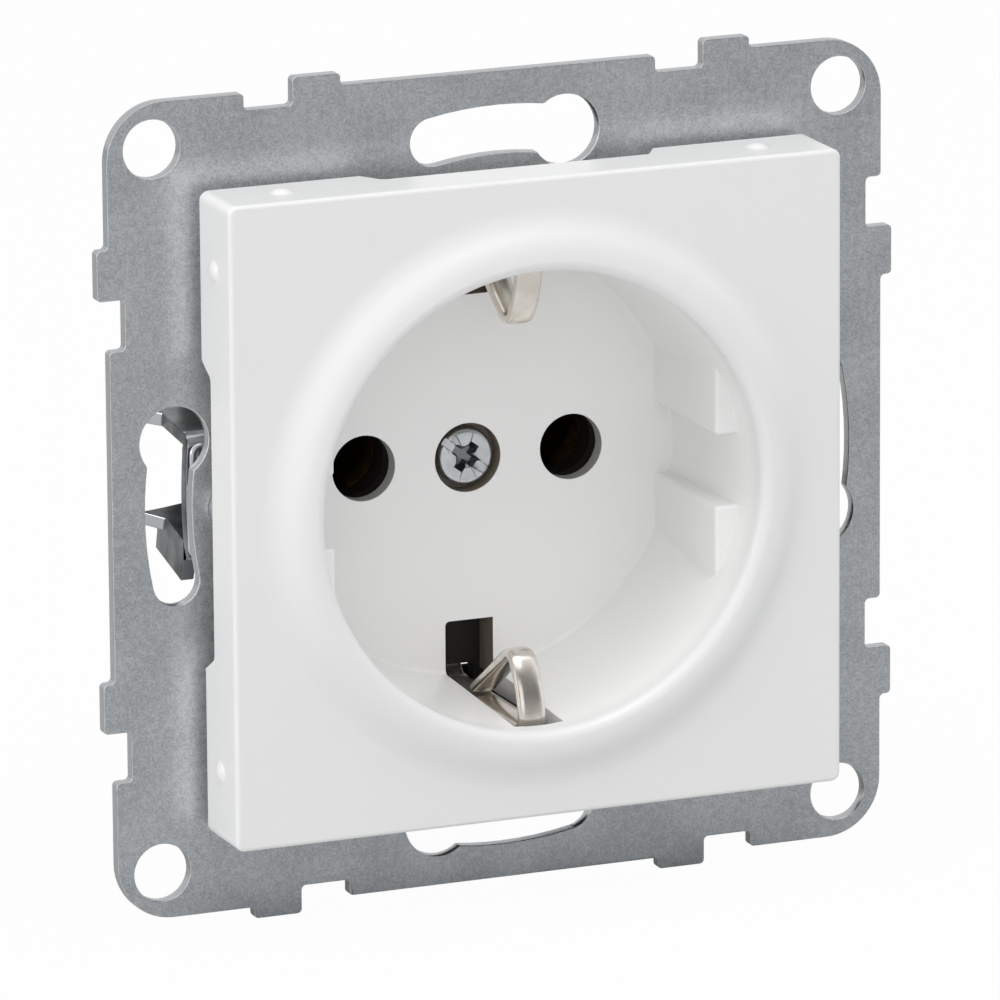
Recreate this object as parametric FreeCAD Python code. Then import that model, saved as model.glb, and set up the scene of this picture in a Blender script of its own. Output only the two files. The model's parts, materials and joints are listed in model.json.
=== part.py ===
import FreeCAD, Part
import math
import os

# Flush wall socket for round-pin earthed plugs, as an insert with its square cover.
# Frame: X to the right, Y into the wall, Z up, millimetres. The origin is the
# centre of the support frame's back face, which lies on the wall at y = 0.

V = FreeCAD.Vector

# The plug decides the cup, and the rest follows outwards from it by named margins.

# Cover with its plug recess
CUP_R = 19.7
CUP_DRAFT = 0.8
CUP_WALL = 1.2
CUP_DEPTH = 16.0
CUP_CORNER_R = 0.4
FLOOR_T = 1.5
COLLAR_W = 5.5
COLLAR_RISE = 1.5
COLLAR_ROLL_R = 1.0
COVER_MARGIN = 2.3
COVER_PROUD = 8.4
FACE_T = 2.0
SKIRT_T = 1.6
SKIRT_DEPTH = 6.8
COVER_EDGE_R = 0.4
COVER_CORNER_R = 0.8
SKIRT_CUT_HALF = 12.0
SKIRT_CUT_DEPTH = 2.0
SKIRT_CUT_SLOPE = 1.2
SNAP_INSET = 6.1
SNAP_R = 1.0
SNAP_PROUD = 0.4
SNAP_FROM_FACE = 3.6
GUIDE_REACH = 2.45
GUIDE_SET_BACK = 3.0
GUIDE_EDGE_R = 0.35
KEYWAY_W = 6.2
PIN_PITCH = 19.0
PIN_HOLE_R = 2.85
COVER_RIB_T = 1.2
COVER_RIB_OFFSET = 9.0
COVER_RIB_H = 2.4

# Support frame, a stamped sheet
SLOT_FROM_CLAW = 5.7
FRAME_MARGIN = 5.0
FRAME_T = 1.2
FRAME_CORNER_R = 5.0
TAB_PROUD = 1.0
NOTCH_DEPTH = 1.4
STEP_NEAR = 14.2
STEP_W = 4.3
STEP_R = 0.4
CORNER_HOLE_INSET = 4.0
CORNER_HOLE_R = 2.5
SLOT_W = 4.1
SLOT_HALF_ANGLE = 11.5
SLOT_ENTRY_R = 3.05

# Screw that holds the cover
SCREW_HOLE_R = 3.0
SCREW_HEAD_R = 2.5
SCREW_HEAD_H = 1.5
SCREW_SINK = 0.3
SCREW_R = 1.45
SCREW_LENGTH = 9.0
SCREW_TURN = 33.0
BOSS_R = 4.2
BOSS_DEPTH = 3.0
BUSH_R = 2.6
BUSH_LENGTH = 6.0

# Earth clip, one bent strip with two sprung arms
STRIP_W = 2.4
STRIP_T = 1.0
STRIP_EDGE_R = 0.4
ARM_SLOT_W = 4.4
ARM_SLOT_REACH = 5.5
ARM_SLOT_SET_BACK = 0.6
ARM_REACH = 6.0
ARM_APEX_DEPTH = 5.9
ARM_APEX_R = 1.8
ARM_END_AHEAD = 1.2
ARM_END_INSIDE = 0.5
ARM_FRONT_DEPTH = 1.4
ARM_FRONT_R = 0.9
ARM_HEEL_R = 1.3
PAD_W = 10.0
PAD_H = 18.0
PAD_CORNER_R = 1.5
EARTH_RIVET_INSET = 1.6
EARTH_RIVET_R = 0.9
EARTH_RIVET_HEAD_R = 1.7
EARTH_RIVET_HEAD_H = 0.6
EARTH_RIVET_LENGTH = 6.0
TONGUE_W = 8.8
TONGUE_DROP = 2.7

# Line contacts and screw terminals
SLEEVE_BORE_R = 2.5
SLEEVE_T = 0.8
SLEEVE_SLIT = 1.6
SLEEVE_LENGTH = 11.0
SLEEVE_MOUTH_R = 3.1
SLEEVE_MOUTH_L = 1.4
PIN_ROOM = 2.6
NECK_T = 1.0
NECK_W = 6.0
TERMINAL_OFFSET = 2.2
TERMINAL_Z = 11.4
TERMINAL_W = 8.6
TERMINAL_L = 9.4
TERMINAL_T = 1.0
WIRE_GAP = 2.8
WIRE_PITCH = 6.2
WIRE_R = 1.25
WIRE_FUNNEL = 0.7
WIRE_STOP = 1.1
CLAMP_W = 8.4
CLAMP_L = 8.0
CLAMP_T = 1.2
CLAMP_CORNER_R = 1.0
CLAMP_GROOVE_R = 1.5
CLAMP_GROOVE_D = 0.3
TERMINAL_SCREW_R = 1.7
TERMINAL_HEAD_R = 3.0
TERMINAL_HEAD_H = 2.2
TERMINAL_SCREW_BELOW = 1.8

# Rear housing and the plate that keeps the contacts in
DRUM_GAP = 0.3
DRUM_WALL = 1.2
RETAINER_T = 1.2
RETAINER_NOTCH = 2.3
RETAINER_RING_T = 0.9
PARTITION_T = 1.2
CORE_WALL = 1.0
CHAMBER_WALL = 1.0
CHAMBER_FLOOR = 1.5
CHAMBER_BACK_WALL = 3.6
HEAD_ROOM = 0.9
PIN_END_WALL = 0.7
HOUSING_R = 1.0
BACK_CHAMFER = 0.8
BACK_POCKETS = 4
BACK_POCKET_DEPTH = 2.5
BACK_POCKET_HALF_H = 7.0
BACK_POCKET_R = 0.8
BACK_RIB_T = 1.4
EAR_R = 3.2
EAR_T = 4.0
RIVET_R = 1.4
RIVET_HEAD_R = 2.5
RIVET_HEAD_H = 0.8

# Spreading claws, each drawn by its own screw
CLAW_GAP = 0.9
CLAW_W = 5.0
CLAW_H = 11.0
CLAW_T = 1.2
CLAW_ROOM = 1.4
CLAW_FROM_FRAME = 2.4
CLAW_LENGTH = 7.6
CLAW_TOOTH = 1.6
CLAW_TOOTH_ROOT = 2.6
CLAW_TOOTH_TIP = 1.0
CLAW_END_STEP = 0.6
CLAW_NOSE = 1.7
CLAW_BOW = 0.3
CLAW_FOLD_R = 1.1
CLAW_TOP_TILT = 6.0
CLAW_LOW_TILT = 14.0
CLAW_FLANGE_H = 2.4
CLAW_FLANGE_FROM = 1.6
CLAW_HOLE_R = 1.95
CLAW_SCREW_R = 1.45
CLAW_SCREW_HEAD_R = 2.2
CLAW_SCREW_HEAD_H = 1.6
CLAW_SCREW_LENGTH = 7.0
SPRING_WIRE_R = 0.28
SPRING_LOOP_R = 2.5
SPRING_PITCH = 0.7
SPRING_LEG = 4.1
SPRING_HOOK_R = 0.65
SPRING_HOOK_LEG = 1.2
SPRING_STEPS = 24

# What all the screws have in common
DRIVE_SLOT_W = 0.7
DRIVE_DEPTH = 0.9
TERMINAL_DRIVE_W = 0.9
TERMINAL_DRIVE_DEPTH = 1.1
CROSS_SHARE = 0.55
CROSS_DEEPER = 1.3
HEAD_ROUND = 0.3
TIP_CHAMFER = 0.3

# Clearances; PAST is how far a cutter runs on past what it cuts
FIT = 0.05
SNUG = 0.15
SEAT = 0.2
LOOSE = 0.4
PAST = 1.0
NEAR = 0.01

# Depths that follow from the sizes, from the front to the back
FRAME_FRONT = -FRAME_T
FACE_Y = FRAME_FRONT - COVER_PROUD
SKIRT_BACK = FACE_Y + SKIRT_DEPTH
FLOOR_Y = FACE_Y + CUP_DEPTH
FLOOR_BACK = FLOOR_Y + FLOOR_T
BOSS_BACK = FLOOR_Y + BOSS_DEPTH
RETAINER_FRONT = BOSS_BACK + SEAT
STRIP_FRONT = RETAINER_FRONT + RETAINER_T + SEAT
PARTITION_Y = STRIP_FRONT + STRIP_T
SLEEVE_FRONT = PARTITION_Y + SEAT
SLEEVE_BACK = SLEEVE_FRONT + SLEEVE_LENGTH
HOUSING_DEPTH = SLEEVE_BACK + PIN_ROOM + PIN_END_WALL + BACK_POCKET_DEPTH
CHAMBER_BACK = HOUSING_DEPTH - CHAMBER_BACK_WALL
TERMINAL_Y = CHAMBER_BACK - WIRE_STOP - TERMINAL_L / 2

# Places that follow from the sizes, from the middle outwards
PIN_X = PIN_PITCH / 2
TERMINAL_X = PIN_X + TERMINAL_OFFSET
EARTH_RIVET_Z = PAD_H / 2 - EARTH_RIVET_INSET
TONGUE_Z = PAD_H / 2 + TONGUE_DROP
SLEEVE_OUT_R = SLEEVE_BORE_R + SLEEVE_T
CORE_HALF_W = PIN_X + SLEEVE_OUT_R + LOOSE + CORE_WALL
BLOCK_HALF_W = TERMINAL_X + TERMINAL_W / 2 + LOOSE + CHAMBER_WALL
BLOCK_LOW = TERMINAL_Z - TERMINAL_T / 2 - SEAT - TERMINAL_SCREW_BELOW - LOOSE - CHAMBER_FLOOR
BLOCK_HALF_H = TERMINAL_Z + TERMINAL_T / 2 + WIRE_GAP + CLAMP_T + TERMINAL_HEAD_H + HEAD_ROOM
GUIDE_X = CUP_R - GUIDE_REACH
CUP_OUT_R = CUP_R + CUP_WALL
DRUM_IN_R = CUP_OUT_R + DRUM_GAP
DRUM_OUT_R = DRUM_IN_R + DRUM_WALL
EAR_PLACE = (DRUM_OUT_R + RIVET_HEAD_R + LOOSE) / math.sqrt(2)
COLLAR_R = CUP_R + COLLAR_W
COVER_HALF = COLLAR_R + COVER_MARGIN
CLAW_X = CUP_OUT_R + CLAW_GAP + CLAW_W / 2
CLAW_WINDOW_HALF = CLAW_H / 2 + CLAW_ROOM
BOX_SCREW_R = CLAW_X + SLOT_FROM_CLAW
FRAME_HALF = BOX_SCREW_R + FRAME_MARGIN
CORNER_HOLE_PLACE = FRAME_HALF - CORNER_HOLE_INSET


def rod(radius, y0, y1, x=0.0, z=0.0):
    """Cylinder along Y from y0 to y1."""
    return Part.makeCylinder(radius, y1 - y0, V(x, y0, z), V(0, 1, 0))


def post(radius, z0, z1, x, y):
    """Cylinder along Z from z0 to z1."""
    return Part.makeCylinder(radius, z1 - z0, V(x, y, z0), V(0, 0, 1))


def block(x0, x1, y0, y1, z0, z1):
    """Box between two corners."""
    return Part.makeBox(x1 - x0, y1 - y0, z1 - z0, V(x0, y0, z0))


def prism_y(points, y0, y1):
    """Polygon of (x, z) points drawn along Y from y0 to y1."""
    ring = [V(x, y0, z) for x, z in points]
    face = Part.Face(Part.makePolygon(ring + ring[:1]))
    return face.extrude(V(0, y1 - y0, 0))


def prism_z(points, z0, z1):
    """Polygon of (x, y) points drawn along Z from z0 to z1."""
    ring = [V(x, y, z0) for x, y in points]
    face = Part.Face(Part.makePolygon(ring + ring[:1]))
    return face.extrude(V(0, 0, z1 - z0))


def turned(shape, angle, axis=(0, 1, 0), centre=(0, 0, 0)):
    """Copy of a shape turned about an axis."""
    copy = shape.copy()
    copy.rotate(V(*centre), V(*axis), angle)
    return copy


def mirrored(shape):
    """Copy of a shape mirrored to the other side of x = 0."""
    return shape.mirror(V(0, 0, 0), V(1, 0, 0))


def quarter_turns(shape):
    """Four copies of a shape about the Y axis, a quarter turn apart."""
    return [turned(shape, 90.0 * k) for k in range(4)]


def edges_along(shape, axis, near=None, reach=0.05):
    """Straight edges along an axis, or only those that pass near a test on their centre."""
    found = []
    for edge in shape.Edges:
        if not isinstance(edge.Curve, Part.Line):
            continue
        if abs(abs(edge.tangentAt(edge.FirstParameter).dot(V(*axis))) - 1) > reach:
            continue
        if near is None or near(edge.CenterOfMass):
            found.append(edge)
    return found


def arc_wire(points, radii):
    """Open wire through points, with an arc of the given radius at each inner point."""
    start, edges = points[0], []
    for before, corner, after, radius in zip(points, points[1:], points[2:], radii):
        back = (before - corner).normalize()
        ahead = (after - corner).normalize()
        half = back.getAngle(ahead) / 2
        reach = radius / math.tan(half)
        first, last = corner + back * reach, corner + ahead * reach
        middle = corner + (back + ahead).normalize() * (radius / math.sin(half) - radius)
        edges.append(Part.LineSegment(start, first).toShape())
        edges.append(Part.Arc(first, middle, last).toShape())
        start = last
    edges.append(Part.LineSegment(start, points[-1]).toShape())
    return Part.Wire(edges)


def strip_section(width, thick, edge_r, centre, along):
    """Rounded rectangle, width along X, square to a direction in the YZ plane."""
    side = V(1, 0, 0)
    up = side.cross(along).normalize()
    half_w, half_t = width / 2 - edge_r, thick / 2 - edge_r
    edges = []
    corners = [(1, 1), (-1, 1), (-1, -1), (1, -1)]
    for k, (a, b) in enumerate(corners):
        hub = centre + side * (a * half_w) + up * (b * half_t)
        out = [side * (a * edge_r), up * (b * edge_r)]
        if k % 2:
            out.reverse()
        middle = hub + (side * a + up * b) * (edge_r / math.sqrt(2))
        edges.append(Part.Arc(hub + out[0], middle, hub + out[1]).toShape())
        a2, b2 = corners[(k + 1) % 4]
        hub2 = centre + side * (a2 * half_w) + up * (b2 * half_t)
        edges.append(Part.LineSegment(hub + out[1], hub2 + out[1]).toShape())
    return Part.Wire(Part.__sortEdges__(edges))


def drive_recess(radius, depth, slot_w):
    """Combined slot and cross recess, in the face z = 0, cut downwards."""
    half_w, reach = slot_w / 2, radius * CROSS_SHARE
    slot = block(-radius - PAST, radius + PAST, -half_w, half_w, -depth, PAST)
    bar = block(-reach, reach, -half_w, half_w, -depth * CROSS_DEEPER, PAST)
    return slot.multiFuse([turned(bar, angle, (0, 0, 1)) for angle in (45, 135)])


def end_circles(shape, z):
    """Round edges of a turned shape that lie in the plane at height z."""
    return [e for e in shape.Edges if isinstance(e.Curve, Part.Circle) and abs(e.CenterOfMass.z - z) < NEAR]


def pan_screw(head_r, head_h, shank_r, length, slot_w=DRIVE_SLOT_W, depth=DRIVE_DEPTH):
    """Screw standing on z = 0: the head is above, the shank below."""
    head = Part.makeCylinder(head_r, head_h)
    head = head.makeFillet(head_h * HEAD_ROUND, end_circles(head, head_h))
    shank = Part.makeCylinder(shank_r, length, V(0, 0, -length))
    shank = shank.makeChamfer(shank_r * TIP_CHAMFER, end_circles(shank, -length))
    recess = drive_recess(head_r, depth, slot_w)
    recess.translate(V(0, 0, head_h))
    return head.fuse(shank).cut(recess).removeSplitter()


def frame_outline():
    """Outline of the stamped frame: one edge with its notches and tabs, turned four times."""
    half = FRAME_HALF
    low, high = half - NOTCH_DEPTH, half + TAB_PROUD
    mid, far = STEP_NEAR + STEP_W, STEP_NEAR + 2 * STEP_W
    edge = [(-half, half), (-far, half), (-far, low), (-mid, low),
            (-mid, high), (-STEP_NEAR, high), (-STEP_NEAR, half),
            (STEP_NEAR, half), (STEP_NEAR, low), (mid, low),
            (mid, high), (far, high), (far, half)]
    points = []
    for _ in range(4):
        points += edge
        edge = [(z, -x) for x, z in edge]
    return points


def box_screw_slot():
    """Curved slot on the box screw circle, with its round entry at the clockwise end."""
    y0, y1 = FRAME_FRONT - PAST, PAST
    ring = rod(BOX_SCREW_R + SLOT_W / 2, y0, y1).cut(rod(BOX_SCREW_R - SLOT_W / 2, y0, y1))
    half = math.radians(SLOT_HALF_ANGLE)
    reach = BOX_SCREW_R + SLOT_W
    wide = reach * math.tan(half)
    wedge = prism_y([(0, 0), (-wide, reach), (wide, reach)], y0, y1)
    x, z = BOX_SCREW_R * math.sin(half), BOX_SCREW_R * math.cos(half)
    return ring.common(wedge).multiFuse([rod(SLOT_W / 2, y0, y1, -x, z), rod(SLOT_ENTRY_R, y0, y1, x, z)])


def support_frame():
    """Galvanised sheet with the outline, the screw slots and every hole."""
    sheet = prism_y(frame_outline(), FRAME_FRONT, 0)

    def at_corner(centre):
        return abs(abs(centre.x) - FRAME_HALF) < NEAR and abs(abs(centre.z) - FRAME_HALF) < NEAR

    def at_step(centre):
        return min(abs(centre.x), abs(centre.z)) < STEP_NEAR + 2 * STEP_W + NEAR

    sheet = sheet.makeFillet(FRAME_CORNER_R, edges_along(sheet, (0, 1, 0), at_corner))
    sheet = sheet.makeFillet(STEP_R, edges_along(sheet, (0, 1, 0), at_step))
    y0, y1 = FRAME_FRONT - PAST, PAST
    cutters = [rod(CUP_OUT_R + LOOSE, y0, y1)]
    cutters += quarter_turns(box_screw_slot())
    cutters += quarter_turns(rod(CORNER_HOLE_R, y0, y1, CORNER_HOLE_PLACE, CORNER_HOLE_PLACE))
    cutters += quarter_turns(rod(RIVET_R + FIT, y0, y1, EAR_PLACE, EAR_PLACE))
    cutters += [rod(CLAW_SCREW_R + FIT, y0, y1, side * CLAW_X) for side in (-1, 1)]
    for cutter in cutters:
        sheet = sheet.cut(cutter)
    return sheet


def cup_profile():
    """Half section of collar, cup wall and floor, in x and y."""
    crest_r = CUP_R + COLLAR_ROLL_R
    crest_y = FACE_Y - COLLAR_RISE
    back_y = FACE_Y + FACE_T
    mid = V((COLLAR_R + crest_r) / 2, (FACE_Y + crest_y) / 2, 0)
    run, rise = (COLLAR_R - crest_r) / 2, COLLAR_RISE / 2
    swell_r = (run * run + rise * rise) / (2 * rise)
    sweep = math.asin(run / swell_r) / 2
    low_mid = V(COLLAR_R - swell_r * math.sin(sweep), FACE_Y - swell_r * (1 - math.cos(sweep)), 0)
    high_mid = V(crest_r + swell_r * math.sin(sweep), crest_y + swell_r * (1 - math.cos(sweep)), 0)
    turn = COLLAR_ROLL_R * (1 - math.sqrt(0.5))
    edges = []

    def line(a, b):
        edges.append(Part.LineSegment(V(a[0], a[1], 0), V(b[0], b[1], 0)).toShape())

    edges.append(Part.Arc(V(COLLAR_R, FACE_Y, 0), low_mid, mid).toShape())
    edges.append(Part.Arc(mid, high_mid, V(crest_r, crest_y, 0)).toShape())
    edges.append(Part.Arc(V(crest_r, crest_y, 0), V(CUP_R + turn, crest_y + turn, 0),
                          V(CUP_R, crest_y + COLLAR_ROLL_R, 0)).toShape())
    floor_r = CUP_R - CUP_DRAFT
    line((CUP_R, crest_y + COLLAR_ROLL_R), (floor_r, FLOOR_Y - CUP_CORNER_R))
    bend = CUP_CORNER_R * (1 - math.sqrt(0.5))
    edges.append(Part.Arc(V(floor_r, FLOOR_Y - CUP_CORNER_R, 0), V(floor_r - bend, FLOOR_Y - bend, 0),
                          V(floor_r - CUP_CORNER_R, FLOOR_Y, 0)).toShape())
    line((floor_r - CUP_CORNER_R, FLOOR_Y), (0, FLOOR_Y))
    line((0, FLOOR_Y), (0, FLOOR_BACK))
    line((0, FLOOR_BACK), (CUP_OUT_R, FLOOR_BACK))
    line((CUP_OUT_R, FLOOR_BACK), (CUP_OUT_R, back_y))
    line((CUP_OUT_R, back_y), (COLLAR_R, back_y))
    line((COLLAR_R, back_y), (COLLAR_R, FACE_Y))
    return Part.Face(Part.Wire(Part.__sortEdges__(edges)))


def guide_blocks():
    """Four blocks that narrow the cup at its sides and leave a keyway between each pair."""
    y0, y1 = FACE_Y + GUIDE_SET_BACK, FLOOR_Y + FLOOR_T / 2
    bore = rod(CUP_R + CUP_WALL / 2, y0, y1)
    blocks = []
    for side in (-1, 1):
        for level in (-1, 1):
            x0, x1 = sorted((side * GUIDE_X, side * (CUP_OUT_R + PAST)))
            z0, z1 = sorted((level * KEYWAY_W / 2, level * CUP_R))
            piece = block(x0, x1, y0, y1, z0, z1).common(bore)
            front = [e for e in piece.Edges if abs(e.CenterOfMass.y - y0) < NEAR
                     and isinstance(e.Curve, Part.Line)]
            inner = [e for e in edges_along(piece, (0, 1, 0))
                     if abs(abs(e.CenterOfMass.x) - GUIDE_X) < NEAR
                     and abs(abs(e.CenterOfMass.z) - KEYWAY_W / 2) < NEAR]
            blocks.append(piece.makeFillet(GUIDE_EDGE_R, front + inner))
    return blocks


def skirt_cut():
    """Shallow cut-out in the back of the top side of the skirt, with sloped, rounded ends."""
    top = SKIRT_BACK - SKIRT_CUT_DEPTH
    far = SKIRT_CUT_HALF + SKIRT_CUT_SLOPE
    points = [(-far, SKIRT_BACK + PAST), (-far, SKIRT_BACK), (-SKIRT_CUT_HALF, top),
              (SKIRT_CUT_HALF, top), (far, SKIRT_BACK), (far, SKIRT_BACK + PAST)]
    cutter = prism_z(points, COVER_HALF - SKIRT_T - PAST, COVER_HALF + PAST)
    ends = edges_along(cutter, (0, 0, 1), lambda c: c.y < SKIRT_BACK + NEAR)
    return cutter.makeFillet(SKIRT_CUT_SLOPE / 2, ends)


def snap_bump(offset):
    """Small dome on the top side of the skirt."""
    ball_r = (SNAP_R ** 2 + SNAP_PROUD ** 2) / (2 * SNAP_PROUD)
    ball = Part.makeSphere(ball_r, V(offset, FACE_Y + SNAP_FROM_FACE, COVER_HALF + SNAP_PROUD - ball_r))
    keep = block(offset - SNAP_R * 2, offset + SNAP_R * 2, FACE_Y, SKIRT_BACK,
                 COVER_HALF - SKIRT_T / 2, COVER_HALF + SNAP_PROUD * 2)
    return ball.common(keep)


def cover_ribs():
    """Two stiffening ribs behind the top part of the face, from the cup to the skirt."""
    y0, y1 = FACE_Y + FACE_T / 2, FACE_Y + FACE_T + COVER_RIB_H
    near = math.sqrt(CUP_R ** 2 - COVER_RIB_OFFSET ** 2) + CUP_WALL / 2
    far = COVER_HALF - SKIRT_T / 2
    return [block(x - COVER_RIB_T / 2, x + COVER_RIB_T / 2, y0, y1, near, far)
            for x in (-COVER_RIB_OFFSET, COVER_RIB_OFFSET)]


def cover_shell():
    """Square face and skirt of the cover, open behind and in the middle."""
    shell = block(-COVER_HALF, COVER_HALF, FACE_Y, SKIRT_BACK, -COVER_HALF, COVER_HALF)
    shell = shell.makeFillet(COVER_CORNER_R, edges_along(shell, (0, 1, 0)))
    front_rim = [e for e in shell.Edges if abs(e.BoundBox.YMax - FACE_Y) < NEAR]
    shell = shell.makeFillet(COVER_EDGE_R, front_rim)
    inner = COVER_HALF - SKIRT_T
    shell = shell.cut(block(-inner, inner, FACE_Y + FACE_T, SKIRT_BACK + PAST, -inner, inner))
    return shell.cut(rod(CUP_OUT_R - CUP_WALL / 2, FACE_Y - PAST, FACE_Y + FACE_T + PAST))


def front_cover():
    """White cover: face, skirt, collar, cup with guide blocks, and every opening in it."""
    cup = cup_profile().revolve(V(0, 0, 0), V(0, 1, 0), 360)
    extras = guide_blocks()
    for rib in cover_ribs():
        extras += quarter_turns(rib)
    for offset in (SNAP_INSET - COVER_HALF, COVER_HALF - SNAP_INSET):
        extras += quarter_turns(snap_bump(offset))
    extras.append(rod(BOSS_R, FLOOR_Y + FLOOR_T / 2, BOSS_BACK))
    cover = cover_shell().fuse(cup).multiFuse(extras)
    cutters = quarter_turns(skirt_cut())
    cutters += [rod(PIN_HOLE_R, FLOOR_Y - PAST, FLOOR_BACK + PAST, side * PIN_X) for side in (-1, 1)]
    cutters.append(rod(SCREW_HOLE_R, FLOOR_Y - PAST, FLOOR_Y + SCREW_SINK + SCREW_HEAD_H))
    cutters.append(rod(SCREW_R + LOOSE, FLOOR_Y, BOSS_BACK + PAST))
    slot = block(-ARM_SLOT_W / 2, ARM_SLOT_W / 2, FACE_Y + ARM_SLOT_SET_BACK, FLOOR_BACK + PAST,
                 CUP_R - ARM_SLOT_REACH, CUP_OUT_R + PAST)
    cutters += [slot, turned(slot, 180)]
    for cutter in cutters:
        cover = cover.cut(cutter)
    return cover.removeSplitter()


def cover_screw():
    """Screw in the middle of the cup's floor, turned so that its slot lies aslant."""
    screw = pan_screw(SCREW_HEAD_R, SCREW_HEAD_H, SCREW_R, SCREW_LENGTH)
    screw.rotate(V(0, 0, 0), V(0, 0, 1), -SCREW_TURN)
    screw.rotate(V(0, 0, 0), V(1, 0, 0), 90)
    screw.translate(V(0, FLOOR_Y + SCREW_SINK + SCREW_HEAD_H, 0))
    return screw


def cover_screw_bush():
    """Threaded brass bush in the housing that takes the cover screw."""
    bush = rod(BUSH_R, PARTITION_Y, PARTITION_Y + BUSH_LENGTH)
    return bush.cut(rod(SCREW_R + FIT, PARTITION_Y - PAST, PARTITION_Y + BUSH_LENGTH + PAST))


def arm_points():
    """Bend points of one earth arm in the YZ plane, from its free end to the strip's middle plane."""
    base_z = CUP_OUT_R - STRIP_T / 2
    return [V(0, FLOOR_Y - ARM_END_AHEAD, CUP_R - ARM_END_INSIDE),
            V(0, FACE_Y + ARM_APEX_DEPTH, CUP_R - ARM_REACH + STRIP_T / 2),
            V(0, FACE_Y + ARM_FRONT_DEPTH, base_z),
            V(0, STRIP_FRONT + STRIP_T / 2, base_z)]


def earth_clip():
    """Nickel strip across the housing; its ends are sprung arms and its tongue is the terminal."""
    top = arm_points()
    bottom = [V(p.x, p.y, -p.z) for p in reversed(top)]
    radii = [ARM_APEX_R, ARM_FRONT_R, ARM_HEEL_R]
    path = arc_wire(top + bottom, radii + radii[::-1])
    along = (top[1] - top[0]).normalize()
    section = strip_section(STRIP_W, STRIP_T, STRIP_EDGE_R, top[0], along)
    strip = path.makePipeShell([section], True, False)
    y0, y1 = STRIP_FRONT, STRIP_FRONT + STRIP_T
    pad = block(-PAD_W / 2, PAD_W / 2, y0, y1, -PAD_H / 2, PAD_H / 2)
    pad = pad.makeFillet(PAD_CORNER_R, edges_along(pad, (0, 1, 0)))
    half_w, low = TONGUE_W / 2, -TONGUE_Z - TERMINAL_T / 2
    root = block(-half_w, half_w, y0, y1, low, PAD_CORNER_R - PAD_H / 2)
    tongue = block(-half_w, half_w, y0, TERMINAL_Y + TERMINAL_L / 2, low, low + TERMINAL_T)
    clip = strip.multiFuse([pad, root, tongue])
    cutters = [rod(SCREW_R + LOOSE, y0 - PAST, y1 + PAST)]
    cutters += [rod(EARTH_RIVET_R + FIT, y0 - PAST, y1 + PAST, 0, z) for z in (-EARTH_RIVET_Z, EARTH_RIVET_Z)]
    cutters.append(post(TERMINAL_SCREW_R + FIT, low - PAST, low + TERMINAL_T + PAST, 0, TERMINAL_Y))
    for cutter in cutters:
        clip = clip.cut(cutter)
    return clip.removeSplitter()


def earth_rivets():
    """Two rivets that fix the retainer and the earth clip to the housing."""
    seat = RETAINER_FRONT
    rivets = []
    for z in (-EARTH_RIVET_Z, EARTH_RIVET_Z):
        head = rod(EARTH_RIVET_HEAD_R, seat - EARTH_RIVET_HEAD_H, seat, 0, z)
        rivets.append(head.fuse(rod(EARTH_RIVET_R, seat, seat + EARTH_RIVET_LENGTH, 0, z)))
    return Part.makeCompound(rivets)


def contact_retainer():
    """Insulating plate over the earth clip; its rings keep the sleeves in the housing."""
    reach = (RETAINER_FRONT - PAST, PARTITION_Y + PAST)
    back = RETAINER_FRONT + RETAINER_T
    plate = rod(DRUM_IN_R - DRUM_GAP, RETAINER_FRONT, back)
    ring_r = SLEEVE_MOUTH_R + RETAINER_RING_T
    plate = plate.multiFuse([rod(ring_r, RETAINER_FRONT, PARTITION_Y, side * PIN_X) for side in (-1, 1)])
    cutters = [rod(SLEEVE_MOUTH_R, *reach, side * PIN_X) for side in (-1, 1)]
    cutters.append(rod(SCREW_R + LOOSE, *reach))
    cutters += [rod(EARTH_RIVET_R + FIT, *reach, 0, z) for z in (-EARTH_RIVET_Z, EARTH_RIVET_Z)]
    for side in (-1, 1):
        x0, x1 = sorted((side * DRUM_OUT_R, side * (CUP_OUT_R - RETAINER_NOTCH)))
        cutters.append(block(x0, x1, *reach, -CLAW_WINDOW_HALF / 2, CLAW_WINDOW_HALF / 2))
        z0, z1 = sorted((side * DRUM_OUT_R, side * (CUP_OUT_R - STRIP_T / 2 - ARM_HEEL_R - SEAT)))
        cutters.append(block(-STRIP_W / 2 - LOOSE, STRIP_W / 2 + LOOSE, *reach, z0, z1))
    for cutter in cutters:
        plate = plate.cut(cutter)
    return plate


def housing_block():
    """Rear block: a narrow core for the pins, and a wider head for the two line terminals."""
    y0, y1 = PARTITION_Y, HOUSING_DEPTH
    core = block(-CORE_HALF_W, CORE_HALF_W, y0, y1, -BLOCK_HALF_H, BLOCK_HALF_H)
    head = block(-BLOCK_HALF_W, BLOCK_HALF_W, y0, y1, BLOCK_LOW, BLOCK_HALF_H)
    body = core.fuse(head).removeSplitter()
    body = body.makeFillet(HOUSING_R, edges_along(body, (0, 1, 0)))
    rim = [e for e in body.Edges if abs(e.BoundBox.YMin - y1) < NEAR]
    return body.makeChamfer(BACK_CHAMFER, rim)


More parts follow.
